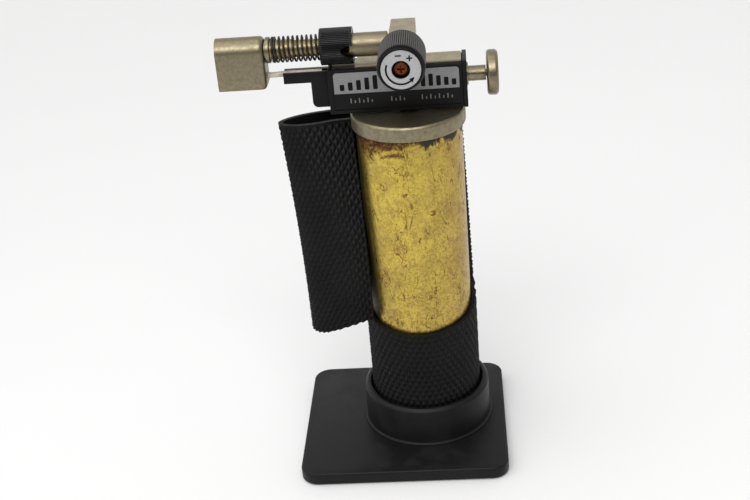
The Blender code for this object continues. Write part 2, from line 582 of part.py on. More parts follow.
def make_hood(torch):
    """Drawn nickel cup round the burner's nose, open at the left, its closed rear end rounded."""
    hood = prism("flame_hood", "nickel", hood_outline(0.0), (HOOD_X[0], HOOD_X[1]), "X",
                 top_bevel=1.5, bevel_steps=3, parent=torch)
    shape(hood, prism("cut_hood", None, hood_outline(HOOD_WALL), (HOOD_X[0] - 1, HOOD_X[1] - HOOD_WALL), "X",
                      top_bevel=1.0))
    bore(hood, "cut_barrel", (0, 0, AXIS_Z), 3.05, (-43.0, -39.5), "X")
    bore(hood, "cut_lead", (0, LEAD_Y, LEAD_Z - 0.1), 1.1, (-43.0, -39.5), "X")


# ---------------------------------------------------------------- assembly

FINISHES = {
    "stand_plastic": ((0.028, 0.028, 0.03), 0.5, 0.0),
    "ballast_steel": ((0.30, 0.31, 0.32), 0.45, 1.0),
    "foot_rubber": ((0.03, 0.03, 0.03), 0.85, 0.0),
    "tank_brass": ((0.55, 0.40, 0.10), 0.32, 1.0),
    "nickel": ((0.42, 0.38, 0.28), 0.34, 1.0),
    "valve_brass": ((0.60, 0.43, 0.14), 0.3, 1.0),
    "spring_steel": ((0.35, 0.35, 0.36), 0.35, 1.0),
    "spring_dark": ((0.10, 0.09, 0.08), 0.4, 1.0),
    "seal_rubber": ((0.02, 0.02, 0.02), 0.6, 0.0),
    "sleeve_rubber": ((0.016, 0.016, 0.017), 0.65, 0.0),
    "head_plastic": ((0.015, 0.015, 0.016), 0.35, 0.0),
    "label_silver": ((0.30, 0.30, 0.30), 0.4, 0.6),
    "screw_steel": ((0.40, 0.40, 0.40), 0.35, 1.0),
    "screw_copper": ((0.22, 0.06, 0.025), 0.45, 0.6),
    "piezo_plastic": ((0.60, 0.58, 0.50), 0.5, 0.0),
    "lead_insulation": ((0.62, 0.50, 0.42), 0.3, 0.0),
    "copper": ((0.45, 0.14, 0.08), 0.35, 1.0),
    "filter_bronze": ((0.40, 0.25, 0.12), 0.8, 0.6),
    "knob_plastic": ((0.03, 0.03, 0.032), 0.5, 0.0),
    "ring_plastic": ((0.015, 0.015, 0.016), 0.4, 0.0),
}


def frame_at(name, place, parent=None):
    """Empty that carries a moving group; its origin is on the group's joint axis."""
    empty = bpy.data.objects.new(name, None)
    bpy.context.scene.collection.objects.link(empty)
    empty.location = Vector(place) * MM
    if parent:
        empty.parent = parent
    return empty


def main():
    for obj in list(bpy.data.objects):
        bpy.data.objects.remove(obj, do_unlink=True)
    for name, (color, roughness, metallic) in FINISHES.items():
        material(name, color, roughness, metallic)
    torch = frame_at("torch_frame", (0, 0, 0))
    knob = frame_at("knob_frame", (0, 0, AXIS_Z), torch)
    ring = frame_at("ring_frame", (0, 0, AXIS_Z), torch)
    plunger = frame_at("plunger_frame", (0, 0, PLUNGER_Z), torch)
    make_stand()
    make_tank(torch)
    make_sleeve(torch)
    make_head(torch)
    make_ignition(torch, plunger)
    make_valve(torch, knob)
    make_burner(torch, ring)


main()
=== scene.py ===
import math

import bmesh
import bpy
from mathutils import Matrix, Vector, noise


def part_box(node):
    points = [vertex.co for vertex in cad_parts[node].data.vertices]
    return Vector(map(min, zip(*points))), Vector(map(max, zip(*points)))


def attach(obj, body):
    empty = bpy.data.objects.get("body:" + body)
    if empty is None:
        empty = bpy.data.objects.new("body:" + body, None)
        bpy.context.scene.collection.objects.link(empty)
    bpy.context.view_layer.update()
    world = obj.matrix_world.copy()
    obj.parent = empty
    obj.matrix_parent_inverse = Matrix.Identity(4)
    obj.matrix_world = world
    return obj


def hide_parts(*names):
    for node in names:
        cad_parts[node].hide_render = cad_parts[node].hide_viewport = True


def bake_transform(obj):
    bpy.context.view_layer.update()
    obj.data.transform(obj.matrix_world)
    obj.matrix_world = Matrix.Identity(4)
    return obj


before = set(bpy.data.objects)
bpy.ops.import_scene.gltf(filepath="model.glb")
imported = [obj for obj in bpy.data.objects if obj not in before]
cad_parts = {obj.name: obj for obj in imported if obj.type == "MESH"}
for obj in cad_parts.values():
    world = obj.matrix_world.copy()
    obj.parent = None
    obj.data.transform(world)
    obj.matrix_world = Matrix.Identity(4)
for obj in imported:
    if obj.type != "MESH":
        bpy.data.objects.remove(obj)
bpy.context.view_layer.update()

MM = 0.001


# ---- places read from the frame

def span(node, axis):
    """Lowest and highest coordinate of a CAD node along an axis, in millimetres."""
    low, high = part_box(node)
    k = "XYZ".index(axis)
    return low[k] / MM, high[k] / MM


def middle(node, axis):
    return sum(span(node, axis)) / 2


def half(node, axis):
    low, high = span(node, axis)
    return (high - low) / 2


AXIS_Z = middle("mixing_tube", "Z")      # height of the burner and the gas knob
AXIS = (0, 0, AXIS_Z)
PLUNGER_Z = middle("plunger_shaft", "Z")
PLUNGER_AXIS = (0, 0, PLUNGER_Z)


# ---- materials

class Finish:
    """A Principled material whose textures are laid out in millimetres on the piece."""

    def __init__(self, name, color, roughness, metallic=0.0, **sockets):
        self.material = bpy.data.materials.new(name)
        self.material.use_nodes = True
        self.nodes = self.material.node_tree.nodes
        self.links = self.material.node_tree.links
        self.shader = self.nodes["Principled BSDF"]
        sockets.update(Base_Color=color, Roughness=roughness, Metallic=metallic)
        for socket, value in sockets.items():
            self.feed(self.shader.inputs[socket.replace("_", " ")], value)
        self.place = self.node("ShaderNodeTexCoord").outputs["Object"]
        self.relief = None

    def node(self, kind, **settings):
        made = self.nodes.new(kind)
        for name, value in settings.items():
            setattr(made, name, value)
        return made

    def feed(self, socket, value):
        """Put a number, a colour or another node's output into a socket."""
        if isinstance(value, bpy.types.NodeSocket):
            self.links.new(value, socket)
        else:
            socket.default_value = (*value, 1.0) if isinstance(value, tuple) else value

    def math(self, operation, a, b=0.0):
        made = self.node("ShaderNodeMath", operation=operation)
        self.feed(made.inputs[0], a)
        self.feed(made.inputs[1], b)
        return made.outputs[0]

    def plus(self, a, b):
        return self.math("ADD", a, b)

    def times(self, a, b):
        return self.math("MULTIPLY", a, b)

    def axis(self, letter):
        """The piece's own coordinate along an axis, in millimetres."""
        made = self.node("ShaderNodeSeparateXYZ")
        self.links.new(self.place, made.inputs[0])
        return self.math("DIVIDE", made.outputs[letter], MM)

    def noise(self, size, detail=3.0, stretch=(1, 1, 1), shift=0.0, distortion=0.0):
        """Noise whose blobs are about `size` millimetres across, longer along an axis by its stretch."""
        lay = self.node("ShaderNodeMapping")
        lay.inputs["Scale"].default_value = [1 / (MM * size * s) for s in stretch]
        lay.inputs["Location"].default_value = (shift, shift, shift)
        self.links.new(self.place, lay.inputs["Vector"])
        made = self.node("ShaderNodeTexNoise")
        made.inputs["Scale"].default_value = 1.0
        made.inputs["Detail"].default_value = detail
        made.inputs["Distortion"].default_value = distortion
        self.links.new(lay.outputs[0], made.inputs["Vector"])
        return made.outputs["Fac"]

    def between(self, value, start, end, low=0.0, high=1.0):
        """Low where value is at start, high where it is at end, smooth in between."""
        made = self.node("ShaderNodeMapRange", interpolation_type="SMOOTHSTEP")
        for socket, number in zip(("From Min", "From Max", "To Min", "To Max"), (start, end, low, high)):
            made.inputs[socket].default_value = number
        self.feed(made.inputs["Value"], value)
        return made.outputs["Result"]

    def lines(self, value, width):
        """1 along the contour where a noise value passes its middle, 0 elsewhere."""
        away = self.math("ABSOLUTE", self.math("SUBTRACT", value, 0.5))
        return self.between(away, width, 0.0)

    def mix(self, factor, first, second):
        made = self.node("ShaderNodeMix", data_type="RGBA")
        self.feed(made.inputs["Factor"], factor)
        self.feed(made.inputs[6], first)
        self.feed(made.inputs[7], second)
        return made.outputs[2]

    def cover(self, color, mask, strength, top):
        """The colour with `top` laid over it where the mask is 1, as opaque as its strength."""
        return self.mix(self.times(mask, strength), color, top)

    def paint(self, color):
        self.links.new(color, self.shader.inputs["Base Color"])

    def rough(self, value):
        self.links.new(value, self.shader.inputs["Roughness"])

    def bump(self, height, depth):
        """Relief `depth` millimetres deep; later ones lie on earlier ones."""
        made = self.node("ShaderNodeBump")
        made.inputs["Distance"].default_value = depth * MM
        self.links.new(height, made.inputs["Height"])
        if self.relief is not None:
            self.links.new(self.relief, made.inputs["Normal"])
        self.relief = made.outputs[0]
        self.links.new(self.relief, self.shader.inputs["Normal"])


def nickel(name, tone=1.0, grain=(1, 1, 1), roughness=0.3, stain=0.35, blotch=3.2):
    """Satin nickel plate: fine brush lines along the stretched axis, warm haze and small dull specks."""
    base, dull, dark = [tuple(c * tone for c in color) for color in
                        ((0.42, 0.368, 0.243), (0.27, 0.228, 0.14), (0.2, 0.17, 0.11))]
    look = Finish(name, base, roughness, 1.0)
    haze = look.between(look.noise(blotch, 4.0), 0.35, 0.7)
    speck = look.between(look.noise(0.45, 2.0, shift=7.0), 0.56, 0.7)
    brush = look.noise(0.12, 3.0, grain)
    color = look.cover(look.cover(base, haze, stain, dull), speck, 0.4, dark)
    look.paint(look.mix(look.between(brush, 0.3, 0.75, 0.0, 0.22), color, dull))
    worn = look.between(brush, 0.3, 0.7, roughness - 0.05, roughness + 0.08)
    look.rough(look.plus(worn, look.times(haze, 0.1)))
    look.bump(brush, 0.012)
    look.bump(look.noise(0.6, 2.0, shift=3.0), 0.01)
    return look.material


def brass(name):
    """Old drawn brass: orange-peel mottling, red-brown marks, heat stain under the cap, and a painted shadow
    and reflection of the black flap at the left.
    """
    look = Finish(name, (0.60, 0.43, 0.12), 0.33, 1.0)
    height, side = look.axis("Z"), look.axis("X")
    mottle = look.between(look.noise(1.25, 3.0, shift=4.0, distortion=1.4), 0.46, 0.6)
    brush = look.noise(0.25, 3.0, (1, 1, 7))
    color = brass_marks(look, brass_ground(look, height, side, mottle, brush))
    color, heat = brass_heat(look, color, height, side)
    # painted shade: a dark wedge where the black flap shadows the brass and is reflected in it, widening
    # towards the foot
    slant = look.times(look.math("SUBTRACT", height, 108.0), 0.04)
    flap_shadow = look.between(look.plus(side, slant), -14.3, -15.5)
    look.paint(look.cover(color, flap_shadow, 0.92, (0.03, 0.024, 0.015)))
    rough = look.plus(look.between(brush, 0.3, 0.8, 0.26, 0.34), look.times(mottle, 0.12))
    look.rough(look.plus(rough, look.times(look.plus(heat, flap_shadow), 0.2)))
    look.bump(brush, 0.006)
    look.bump(look.noise(1.4, 2.0, shift=6.0), 0.02)
    return look.material


def brass_ground(look, height, side, mottle, brush):
    """Bright and worn clouds, with a painted highlight brighter at the upper left and a painted tan
    reflection at the right, under fine olive mottling.
    """
    bright, worn = (0.66, 0.50, 0.1), (0.37, 0.255, 0.075)
    tan, olive = (0.42, 0.27, 0.115), (0.22, 0.145, 0.04)
    # painted highlight: the clouds lean to the bright colour at the upper left, where the light falls
    high = look.between(height, 52.0, 92.0)
    left = look.between(side, 13.0, -3.0)
    cloud = look.between(look.noise(7.0, 4.0, distortion=0.6), 0.36, 0.68, 0.25, 0.75)
    wear_and_highlight = look.math("SUBTRACT", cloud, look.times(look.times(high, left), 0.4))
    color = look.mix(wear_and_highlight, bright, worn)
    # painted reflection: tan towards the right edge of the tank
    color = look.mix(look.between(side, 5.0, 16.0, 0.0, 0.42), color, tan)
    color = look.cover(color, mottle, look.between(height, 100.0, 60.0, 0.3, 0.45), olive)
    peel = look.lines(look.noise(2.2, 1.0, shift=8.0, distortion=2.0), 0.06)
    color = look.cover(color, peel, 0.25, olive)
    return look.mix(look.between(brush, 0.45, 0.8, 0.0, 0.18), color, olive)


def brass_marks(look, color):
    """Red-brown squiggles in patches, a few blots, and thin dark upright hairs with gaps in them."""
    red, dark = (0.15, 0.04, 0.02), (0.075, 0.04, 0.013)
    patch = look.between(look.noise(7.0, 2.0, shift=2.0), 0.54, 0.6)
    squiggle = look.lines(look.noise(2.6, 1.0, (1, 1, 1.5), distortion=2.2), 0.06)
    color = look.cover(color, squiggle, look.times(patch, 0.75), red)
    blot = look.between(look.noise(3.4, 2.0, (1, 1, 1.5), shift=12.0, distortion=0.7), 0.685, 0.7)
    color = look.cover(color, blot, 0.7, red)
    hair = look.lines(look.noise(5.0, 0.0, (0.6, 0.6, 4.0), shift=5.0, distortion=0.5), 0.022)
    gap = look.between(look.noise(3.0, 1.0, shift=9.0), 0.5, 0.57)
    return look.cover(color, hair, look.times(gap, 0.7), dark)


def brass_heat(look, color, height, side):
    """Heat stain with a ragged lower edge, darker close under the cap, and grey residue at the right."""
    ragged = look.times(look.noise(4.2, 5.0, (1.4, 1.4, 1), shift=1.0, distortion=0.8), 13.0)
    edge = look.plus(height, ragged)
    reach = look.plus(edge, look.between(side, 7.0, -12.0, -4.4, -0.6))
    heat = look.between(reach, 107.6, 109.6)
    through = look.between(look.noise(1.3, 3.0, shift=15.0, distortion=0.8), 0.36, 0.58, 0.42, 0.9)
    color = look.cover(color, heat, through, (0.09, 0.022, 0.015))
    color = look.cover(color, look.between(reach, 110.2, 112.6), 0.7, (0.06, 0.022, 0.015))
    residue = look.between(edge, 111.8, 113.0)
    return look.cover(color, residue, look.between(side, 1.0, 5.0), (0.06, 0.053, 0.042)), heat


def plastic(name, color, roughness, grain=0.25, depth=0.012, dust=0.12, specular=0.5):
    """Moulded plastic: fine texture, faint rubbed patches and a little dust."""
    look = Finish(name, color, roughness, Specular_IOR_Level=specular)
    rubbed = look.between(look.noise(7.0, 4.0), 0.4, 0.7)
    fleck = look.between(look.noise(0.35, 2.0, shift=5.0), 0.7, 0.76)
    texture = look.noise(grain, 2.0)
    shade = look.cover(color, rubbed, 0.5, tuple(min(1.0, c * 1.7 + 0.004) for c in color))
    look.paint(look.cover(shade, fleck, dust, (0.25, 0.24, 0.22)))
    look.rough(look.plus(look.times(rubbed, 0.12),
                         look.between(texture, 0.3, 0.7, roughness - 0.05, roughness + 0.07)))
    look.bump(texture, depth)
    return look.material


def rubber(name):
    """Soft black rubber with a dry bloom and grit in it."""
    look = Finish(name, (0.005, 0.005, 0.0053), 0.5, Specular_IOR_Level=0.2)
    bloom = look.between(look.noise(11.0, 4.0), 0.35, 0.7)
    grit = look.between(look.noise(0.3, 2.0, shift=2.0), 0.68, 0.76)
    shade = look.cover((0.003, 0.003, 0.0032), bloom, 0.6, (0.007, 0.007, 0.0073))
    look.paint(look.cover(shade, grit, 0.15, (0.05, 0.048, 0.04)))
    look.rough(look.between(look.noise(1.6, 3.0, shift=4.0), 0.3, 0.7, 0.5, 0.66))
    look.bump(look.noise(0.16, 3.0), 0.02)
    return look.material


def printed(name, color, roughness, metallic=0.0, specular=0.5):
    """A printed or foil surface: fine grain, faint rubbing."""
    look = Finish(name, color, roughness, metallic, Specular_IOR_Level=specular)
    worn = tuple(c * 0.72 for c in color)
    grain = look.noise(0.3, 3.0)
    shade = look.mix(look.between(grain, 0.35, 0.7, 0.0, 0.5), color, worn)
    rubbed = look.between(look.noise(3.5, 3.0, shift=3.0), 0.45, 0.75, 0.0, 0.4)
    look.paint(look.mix(rubbed, shade, worn))
    look.rough(look.between(grain, 0.3, 0.7, roughness - 0.05, roughness + 0.07))
    look.bump(grain, 0.006)
    return look.material


def bare_metal(name, color, roughness, tarnish, grain=(1, 1, 1)):
    """Turned or drawn metal with tarnish lying on it in patches."""
    look = Finish(name, color, roughness, 1.0)
    patch = look.between(look.noise(1.8, 4.0), 0.4, 0.65)
    line = look.noise(0.1, 3.0, grain)
    shade = look.cover(color, patch, 0.7, tarnish)
    look.paint(look.mix(look.between(line, 0.4, 0.8, 0.0, 0.3), shade, tarnish))
    look.rough(look.between(patch, 0.0, 1.0, roughness, roughness + 0.15))
    look.bump(line, 0.01)
    return look.material


def insulation(name):
    """Translucent heat-yellowed lead covering."""
    look = Finish(name, (0.80, 0.66, 0.52), 0.28, Transmission_Weight=0.1, IOR=1.42)
    scorch = look.between(look.noise(2.4, 3.0), 0.4, 0.7)
    look.paint(look.mix(scorch, (0.66, 0.60, 0.50), (0.48, 0.36, 0.27)))
    look.rough(look.between(look.noise(0.5, 2.0), 0.3, 0.7, 0.22, 0.4))
    look.bump(look.noise(0.4, 2.0), 0.01)
    return look.material


LOOKS = {
    "brass": brass("tank_brass_aged"),
    "nickel_hood": nickel("nickel_hood", 0.63, (1, 1, 1), 0.33, 0.45, 1.1),
    "nickel_tube": nickel("nickel_tube", 0.63, (14, 1, 1), 0.36, 0.35),
    "nickel_bar": nickel("nickel_bar", 0.96, (1, 8, 1), 0.33, 0.3),
    "nickel_cap": nickel("nickel_cap", 0.69, (1, 1, 1), 0.39, 0.55, 1.6),
    "nickel_button": nickel("nickel_button", 0.61, (1, 1, 1), 0.28, 0.4, 1.6),
    "stand": plastic("stand_plastic_matt", (0.0055, 0.0055, 0.0058), 0.43, 0.22, 0.015, 0.05, 0.2),
    "head": plastic("head_plastic_satin", (0.0035, 0.0035, 0.0038), 0.33, 0.3, 0.008, 0.04, 0.15),
    "knob": plastic("knob_plastic_worn", (0.052, 0.049, 0.046), 0.5, 0.2, 0.012, 0.15, 0.4),
    "knob_dark": plastic("knob_plastic_dark", (0.0035, 0.0035, 0.004), 0.42, 0.2, 0.01, 0.05, 0.15),
    "ring": plastic("ring_plastic_gloss", (0.003, 0.003, 0.0033), 0.24, 0.3, 0.006, 0.04, 0.2),
    "rubber": rubber("sleeve_rubber_dry"),
    "foot": plastic("foot_rubber_dusty", (0.018, 0.018, 0.018), 0.8, 0.3, 0.03, 0.3),
    "seal": plastic("seal_rubber_soft", (0.012, 0.012, 0.012), 0.5, 0.3, 0.01, 0.05),
    "piezo": plastic("piezo_plastic_pale", (0.60, 0.57, 0.48), 0.45, 0.3, 0.01, 0.1),
    "silver": printed("label_foil", (0.235, 0.235, 0.236), 0.42, 0.4),
    "ink": printed("label_ink", (0.004, 0.004, 0.005), 0.45, specular=0.1),
    "pale_ink": printed("label_pale_ink", (0.16, 0.16, 0.15), 0.5),
    "knob_silver": printed("knob_foil", (0.45, 0.45, 0.455), 0.42, 0.4),
    "spring_dark": bare_metal("spring_browned", (0.055, 0.046, 0.036), 0.36, (0.02, 0.016, 0.012)),
    "spring_steel": bare_metal("spring_bright", (0.5, 0.5, 0.5), 0.3, (0.3, 0.28, 0.25)),
    "steel": bare_metal("steel_zinc", (0.5, 0.5, 0.5), 0.35, (0.3, 0.29, 0.27)),
    "brass_turned": bare_metal("brass_turned", (0.62, 0.45, 0.16), 0.28, (0.35, 0.22, 0.07)),
    "barrel": bare_metal("barrel_straw", (0.30, 0.245, 0.14), 0.36, (0.15, 0.11, 0.06), (12, 1, 1)),
    "bronze": bare_metal("bronze_sintered", (0.40, 0.26, 0.12), 0.6, (0.22, 0.13, 0.06)),
    "copper": bare_metal("copper_scorched", (0.50, 0.16, 0.09), 0.3, (0.25, 0.06, 0.04)),
    "screw_red": bare_metal("screw_red_brown", (0.17, 0.048, 0.02), 0.45, (0.08, 0.02, 0.009)),
    "lead": insulation("lead_covering"),
}


# ---- shapes

def arc(centre, radius, start, end, steps):
    """Points of an arc between two angles in degrees, with both ends."""
    angles = [math.radians(start + (end - start) * i / steps) for i in range(steps + 1)]
    return [(centre[0] + radius * math.cos(a), centre[1] + radius * math.sin(a)) for a in angles]


def soften(points, cut, steps=3, closed=True):
    """The same outline with its corners rounded; each corner starts `cut` away from its point."""
    ends = [Vector(p) for p in points]
    line = []
    for i, corner in enumerate(ends):
        if not closed and i in (0, len(ends) - 1):
            line.append(tuple(corner))
            continue
        before, after = ends[i - 1], ends[(i + 1) % len(ends)]
        reach = min(cut, (before - corner).length * 0.45, (after - corner).length * 0.45)
        start = corner + (before - corner).normalized() * reach
        end = corner + (after - corner).normalized() * reach
        for k in range(steps + 1):
            t = k / steps
            line.append(tuple(start * (1 - t) ** 2 + corner * 2 * t * (1 - t) + end * t * t))
    return line


LAY_ALONG = {"X": Matrix.Rotation(math.radians(90), 4, "Y"), "Y": Matrix.Rotation(math.radians(-90), 4, "X"),
             "Z": Matrix.Identity(4)}     # carries +Z to the named axis
V_GROOVE = (0.0, 0.12, 1.0, 0.12)        # depth of the four columns of a ridge and its groove


def bridge(bm, low, high):
    """Faces between two closed rings of vertices."""
    for i in range(len(low)):
        j = (i + 1) % len(low)
        bm.faces.new((low[i], low[j], high[j], high[i]))


def lathe(outline, axis="Z", at=(0, 0, 0), steps=96, ridges=0, depth=None):
    """Solid of revolution of (radius, height) points; its ridges have grooves depth(radius, height) deep."""
    bm = bmesh.new()
    if ridges:
        steps = ridges * len(V_GROOVE)
    on_axis = outline[0][0] < 1e-6
    rings = []
    for radius, height in (outline[1:-1] if on_axis else outline):
        ring = []
        for i in range(steps):
            angle = math.tau * i / steps
            reach = radius - (V_GROOVE[i % len(V_GROOVE)] * depth(radius, height) if ridges else 0.0)
            ring.append(bm.verts.new((reach * math.cos(angle), reach * math.sin(angle), height)))
        rings.append(ring)
    pairs = list(zip(rings, rings[1:])) + ([] if on_axis else [(rings[-1], rings[0])])
    for low, high in pairs:
        bridge(bm, low, high)
    if on_axis:
        for ring, height in ((rings[0], outline[0][1]), (rings[-1], outline[-1][1])):
            pole = bm.verts.new((0, 0, height))
            for i in range(steps):
                bm.faces.new((ring[i], ring[(i + 1) % steps], pole))
    bm.transform(Matrix.Translation(at) @ LAY_ALONG[axis])
    return bm


def tube_outline(low, high, outer, inner, edge=0.2):
    return soften([(inner, low), (outer, low), (outer, high), (inner, high)], edge)


def rod(radius, low, high, axis, at, steps=64):
    """Plain round rod, for cutting a round hole."""
    return lathe([(0, low), (radius, low), (radius, high), (0, high)], axis, at, steps)


def prism(outline, ends, axis="Z", bevel=0.0, both=True, segments=3):
    """Extruded outline with its end edges rounded; points are (x, y), (x, z) or (y, z) in that order."""
    order = {"X": (2, 0, 1), "Y": (0, 2, 1), "Z": (0, 1, 2)}[axis]
    bm = bmesh.new()
    low, high = [[bm.verts.new([(*point, end)[k] for k in order]) for point in outline] for end in ends]
    caps = [bm.faces.new(low), bm.faces.new(high)]
    bridge(bm, low, high)
    bmesh.ops.recalc_face_normals(bm, faces=bm.faces)
    if bevel:
        rims = [e for cap in (caps if both else caps[1:]) for e in cap.edges]
        bmesh.ops.bevel(bm, geom=rims, offset=bevel, segments=segments, profile=0.5, affect="EDGES")
    return bm


def rounded_rectangle(x_range, y_range, radius, steps=8):
    left, right = x_range[0] + radius, x_range[1] - radius
    low, high = y_range[0] + radius, y_range[1] - radius
    points = []
    for turn, centre in enumerate(((right, high), (left, high), (left, low), (right, low))):
        points += arc(centre, radius, 90 * turn, 90 * turn + 90, steps)
    return points


def sweep(line, radius, sides=16, inner=0.0):
    """Round wire or hollow covering along a list of points."""
    circle = arc((0, 0), 1, 0, 360, sides)[:-1]
    bm = bmesh.new()
    walls = []
    for r in (radius, inner) if inner else (radius,):
        side = None
        rings = []
        for i, place in enumerate(line):
            ahead = (line[min(i + 1, len(line) - 1)] - line[max(i - 1, 0)]).normalized()
            side = (ahead.orthogonal() if side is None else side - ahead * side.dot(ahead)).normalized()
            up = ahead.cross(side)
            rings.append([bm.verts.new(place + (side * x + up * y) * r) for x, y in circle])
        for low, high in zip(rings, rings[1:]):
            bridge(bm, low, high)
        walls.append(rings)
    for end in (0, -1):
        if inner:
            bridge(bm, walls[0][end], walls[1][end])
        else:
            bm.faces.new(walls[0][end])
    return bm


def smooth_line(points, count):
    """Evenly numbered points on a Catmull-Rom curve through given points."""
    ends = [Vector(p) for p in points]
    ends = [ends[0] * 2 - ends[1]] + ends + [ends[-1] * 2 - ends[-2]]
    line = []
    for i in range(count + 1):
        where = (len(points) - 1) * i / count
        k = min(int(where), len(points) - 2)
        t = where - k
        a, b, c, d = ends[k:k + 4]
        line.append(0.5 * (2 * b + (c - a) * t + (2 * a - 5 * b + 4 * c - d) * t * t
                           + (3 * b - a - 3 * c + d) * t ** 3))
    return line


def add_object(name, data):
    obj = bpy.data.objects.new(name, data)
    bpy.context.scene.collection.objects.link(obj)
    return obj


def piece(bm, name, look, body=None, node=None, crease=35):
    """A finished piece in metres that rides on a body and stands for its CAD node."""
    bmesh.ops.recalc_face_normals(bm, faces=bm.faces)
    bm.transform(Matrix.Scale(MM, 4))
    mesh = bpy.data.meshes.new(name)
    bm.to_mesh(mesh)
    bm.free()
    mesh.shade_smooth()
    mesh.set_sharp_from_angle(angle=math.radians(crease))
    obj = add_object(name, mesh)
    for one in (look if isinstance(look, tuple) else (look,)):
        mesh.materials.append(LOOKS[one])
    if body:
        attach(obj, body)
    if node:
        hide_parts(node)
    return obj


def cut(obj, bm, operation="DIFFERENCE", crease=35):
    """Cut a shape out of a piece, or add it, for good."""
    tool = piece(bm, obj.name + "_tool", "steel")
    modifier = obj.modifiers.new("cut", "BOOLEAN")
    modifier.operation = operation
    modifier.solver = "EXACT"
    modifier.object = tool
    bpy.context.view_layer.update()
    made = bpy.data.meshes.new_from_object(obj.evaluated_get(bpy.context.evaluated_depsgraph_get()))
    obj.modifiers.clear()
    looks = list(obj.data.materials)
    obj.data = made
    made.materials.clear()
    for look in looks:
        made.materials.append(look)
    made.polygons.foreach_set("material_index", [0] * len(made.polygons))
    made.shade_smooth()
    made.set_sharp_from_angle(angle=math.radians(crease))
    bpy.data.objects.remove(tool)
    return obj


# ---- stand

PLATE_CORNER = 5.5
COLLAR_R = 20.6
COLLAR_TOP = span("stand_base", "Z")[1]
SOCKET_R = 18.1
SOCKET_FLOOR = 3.0
PLATE_TOP = 4.3
POCKET_WALL = 2.0
POCKET_CEILING = 3.2


def make_stand():
    """Moulded plate with softened edges and the collar with its foot line and chamfered rim."""
    x_range, y_range, bottom = span("stand_base", "X"), span("stand_base", "Y"), span("stand_base", "Z")[0]
    plate = rounded_rectangle(x_range, y_range, PLATE_CORNER, 12)
    base = piece(prism(plate, (bottom, PLATE_TOP), "Z", 0.55), "stand", "stand", "stand", "stand_base")
    inner = [(low + POCKET_WALL, high - POCKET_WALL) for low, high in (x_range, y_range)]
    cut(base, prism(rounded_rectangle(*inner, PLATE_CORNER - POCKET_WALL), (bottom - 1, POCKET_CEILING)))
    collar = soften([(0, 1.3), (19.3, 1.3), (19.3, PLATE_TOP - 0.6), (COLLAR_R + 0.75, PLATE_TOP - 0.6),
                     (COLLAR_R + 0.75, PLATE_TOP + 0.55), (COLLAR_R + 0.05, PLATE_TOP + 0.8),
                     (COLLAR_R - 0.15, COLLAR_TOP - 1.0), (COLLAR_R - 1.1, COLLAR_TOP), (0, COLLAR_TOP)],
                    0.25, closed=False)
    cut(base, lathe(collar, steps=128), "UNION")
    socket = soften([(0, SOCKET_FLOOR), (SOCKET_R, SOCKET_FLOOR), (SOCKET_R, COLLAR_TOP - 0.6),
                     (SOCKET_R + 0.9, COLLAR_TOP + 0.3), (SOCKET_R + 0.9, COLLAR_TOP + 2),
                     (0, COLLAR_TOP + 2)], 0.3, closed=False)
    cut(base, lathe(socket, steps=128))


# ---- tank

TANK_R = half("tank_shell", "X")
TANK_WALL = 1.0
FILLER_R = 4.3                 # hole in the tank's foot for the refill valve
CAP_R = half("tank_cap", "X")


def make_tank():
    """Drawn brass cup with its rolled foot, and the spun nickel cap."""
    low, high = span("tank_shell", "Z")
    wall = TANK_R - TANK_WALL
    shell = [(FILLER_R, low), (TANK_R - 1.4, low), (TANK_R - 0.35, low + 0.5), (TANK_R, low + 1.6),
             (TANK_R, high), (wall, high), (wall, low + 2.4), (wall - 1.0, low + 1.4), (FILLER_R, low + 1.4)]
    piece(lathe(soften(shell, 0.35), steps=144), "brass_tank", "brass", "torch", "tank_shell")
    bottom, top = span("tank_cap", "Z")
    plug, groove_floor, groove, skirt = 14.6, 12.9, (104.2, 106.4), 108.2
    cap = [(0, bottom), (plug - 0.5, bottom), (plug, bottom + 0.5), (plug, groove[0]),
           (groove_floor, groove[0]), (groove_floor, groove[1]), (plug, groove[1]), (plug, skirt),
           (CAP_R - 0.15, skirt), (CAP_R, skirt + 0.35), (CAP_R, top - 0.75), (CAP_R - 0.45, top - 0.08),
           (CAP_R - 1.1, top), (CAP_R - 1.5, top - 0.12), (0, top - 0.12)]
    piece(lathe(soften(cap, 0.2, closed=False), steps=144), "tank_cap_spun", "nickel_cap", "torch",
          "tank_cap")


# ---- sleeve

SLEEVE_WALL = 1.5
SLEEVE_R = TANK_R + 0.3 + SLEEVE_WALL / 2
SLEEVE_LOW = 3.3
SLEEVE_TOP = 107.8
STRIP_START = (12.0, 24.0)   # angles of the strip's slanting edge, at the cut and at the mouth
STRIP_END = 138.0            # angle where the strip passes into the flap
LOZENGE = 6                  # mesh columns and rows in one lozenge of the knurl
BAND_COLUMNS = 54 * LOZENGE  # all round the tank
BAND_ROWS = 11 * LOZENGE
UPPER_ROWS = 21 * LOZENGE
PLAIN_ROW = BAND_ROWS + UPPER_ROWS - 1
COLUMN_TURN = 360 / BAND_COLUMNS
FIRST_STRIP = round((STRIP_START[0] + 360 - STRIP_END) / COLUMN_TURN)   # column where the strip begins
INNER_EVERY = 9              # the smooth inner face has one row for each of this many outer rows
KNURL_DEPTH = 0.52
FLAP_TOP_LINE = ((-14.6, 13.4), (-20.5, 14.0), (-26.6, 12.4), (-32.8, 9.8), (-37.4, 6.6), (-39.3, 3.9),
                 (-37.6, 2.0), (-33.4, 1.7), (-28.0, 3.2), (-22.6, 5.4), (-17.7, 6.2))
FLAP_LOW_LINE = ((-14.3, 12.6), (-19.0, 11.8), (-24.6, 9.2), (-29.8, 5.2), (-33.4, 0.7), (-34.8, -3.5),
                 (-33.8, -7.2), (-30.5, -9.4), (-26.0, -10.4), (-20.4, -10.6), (-14.9, -9.0))
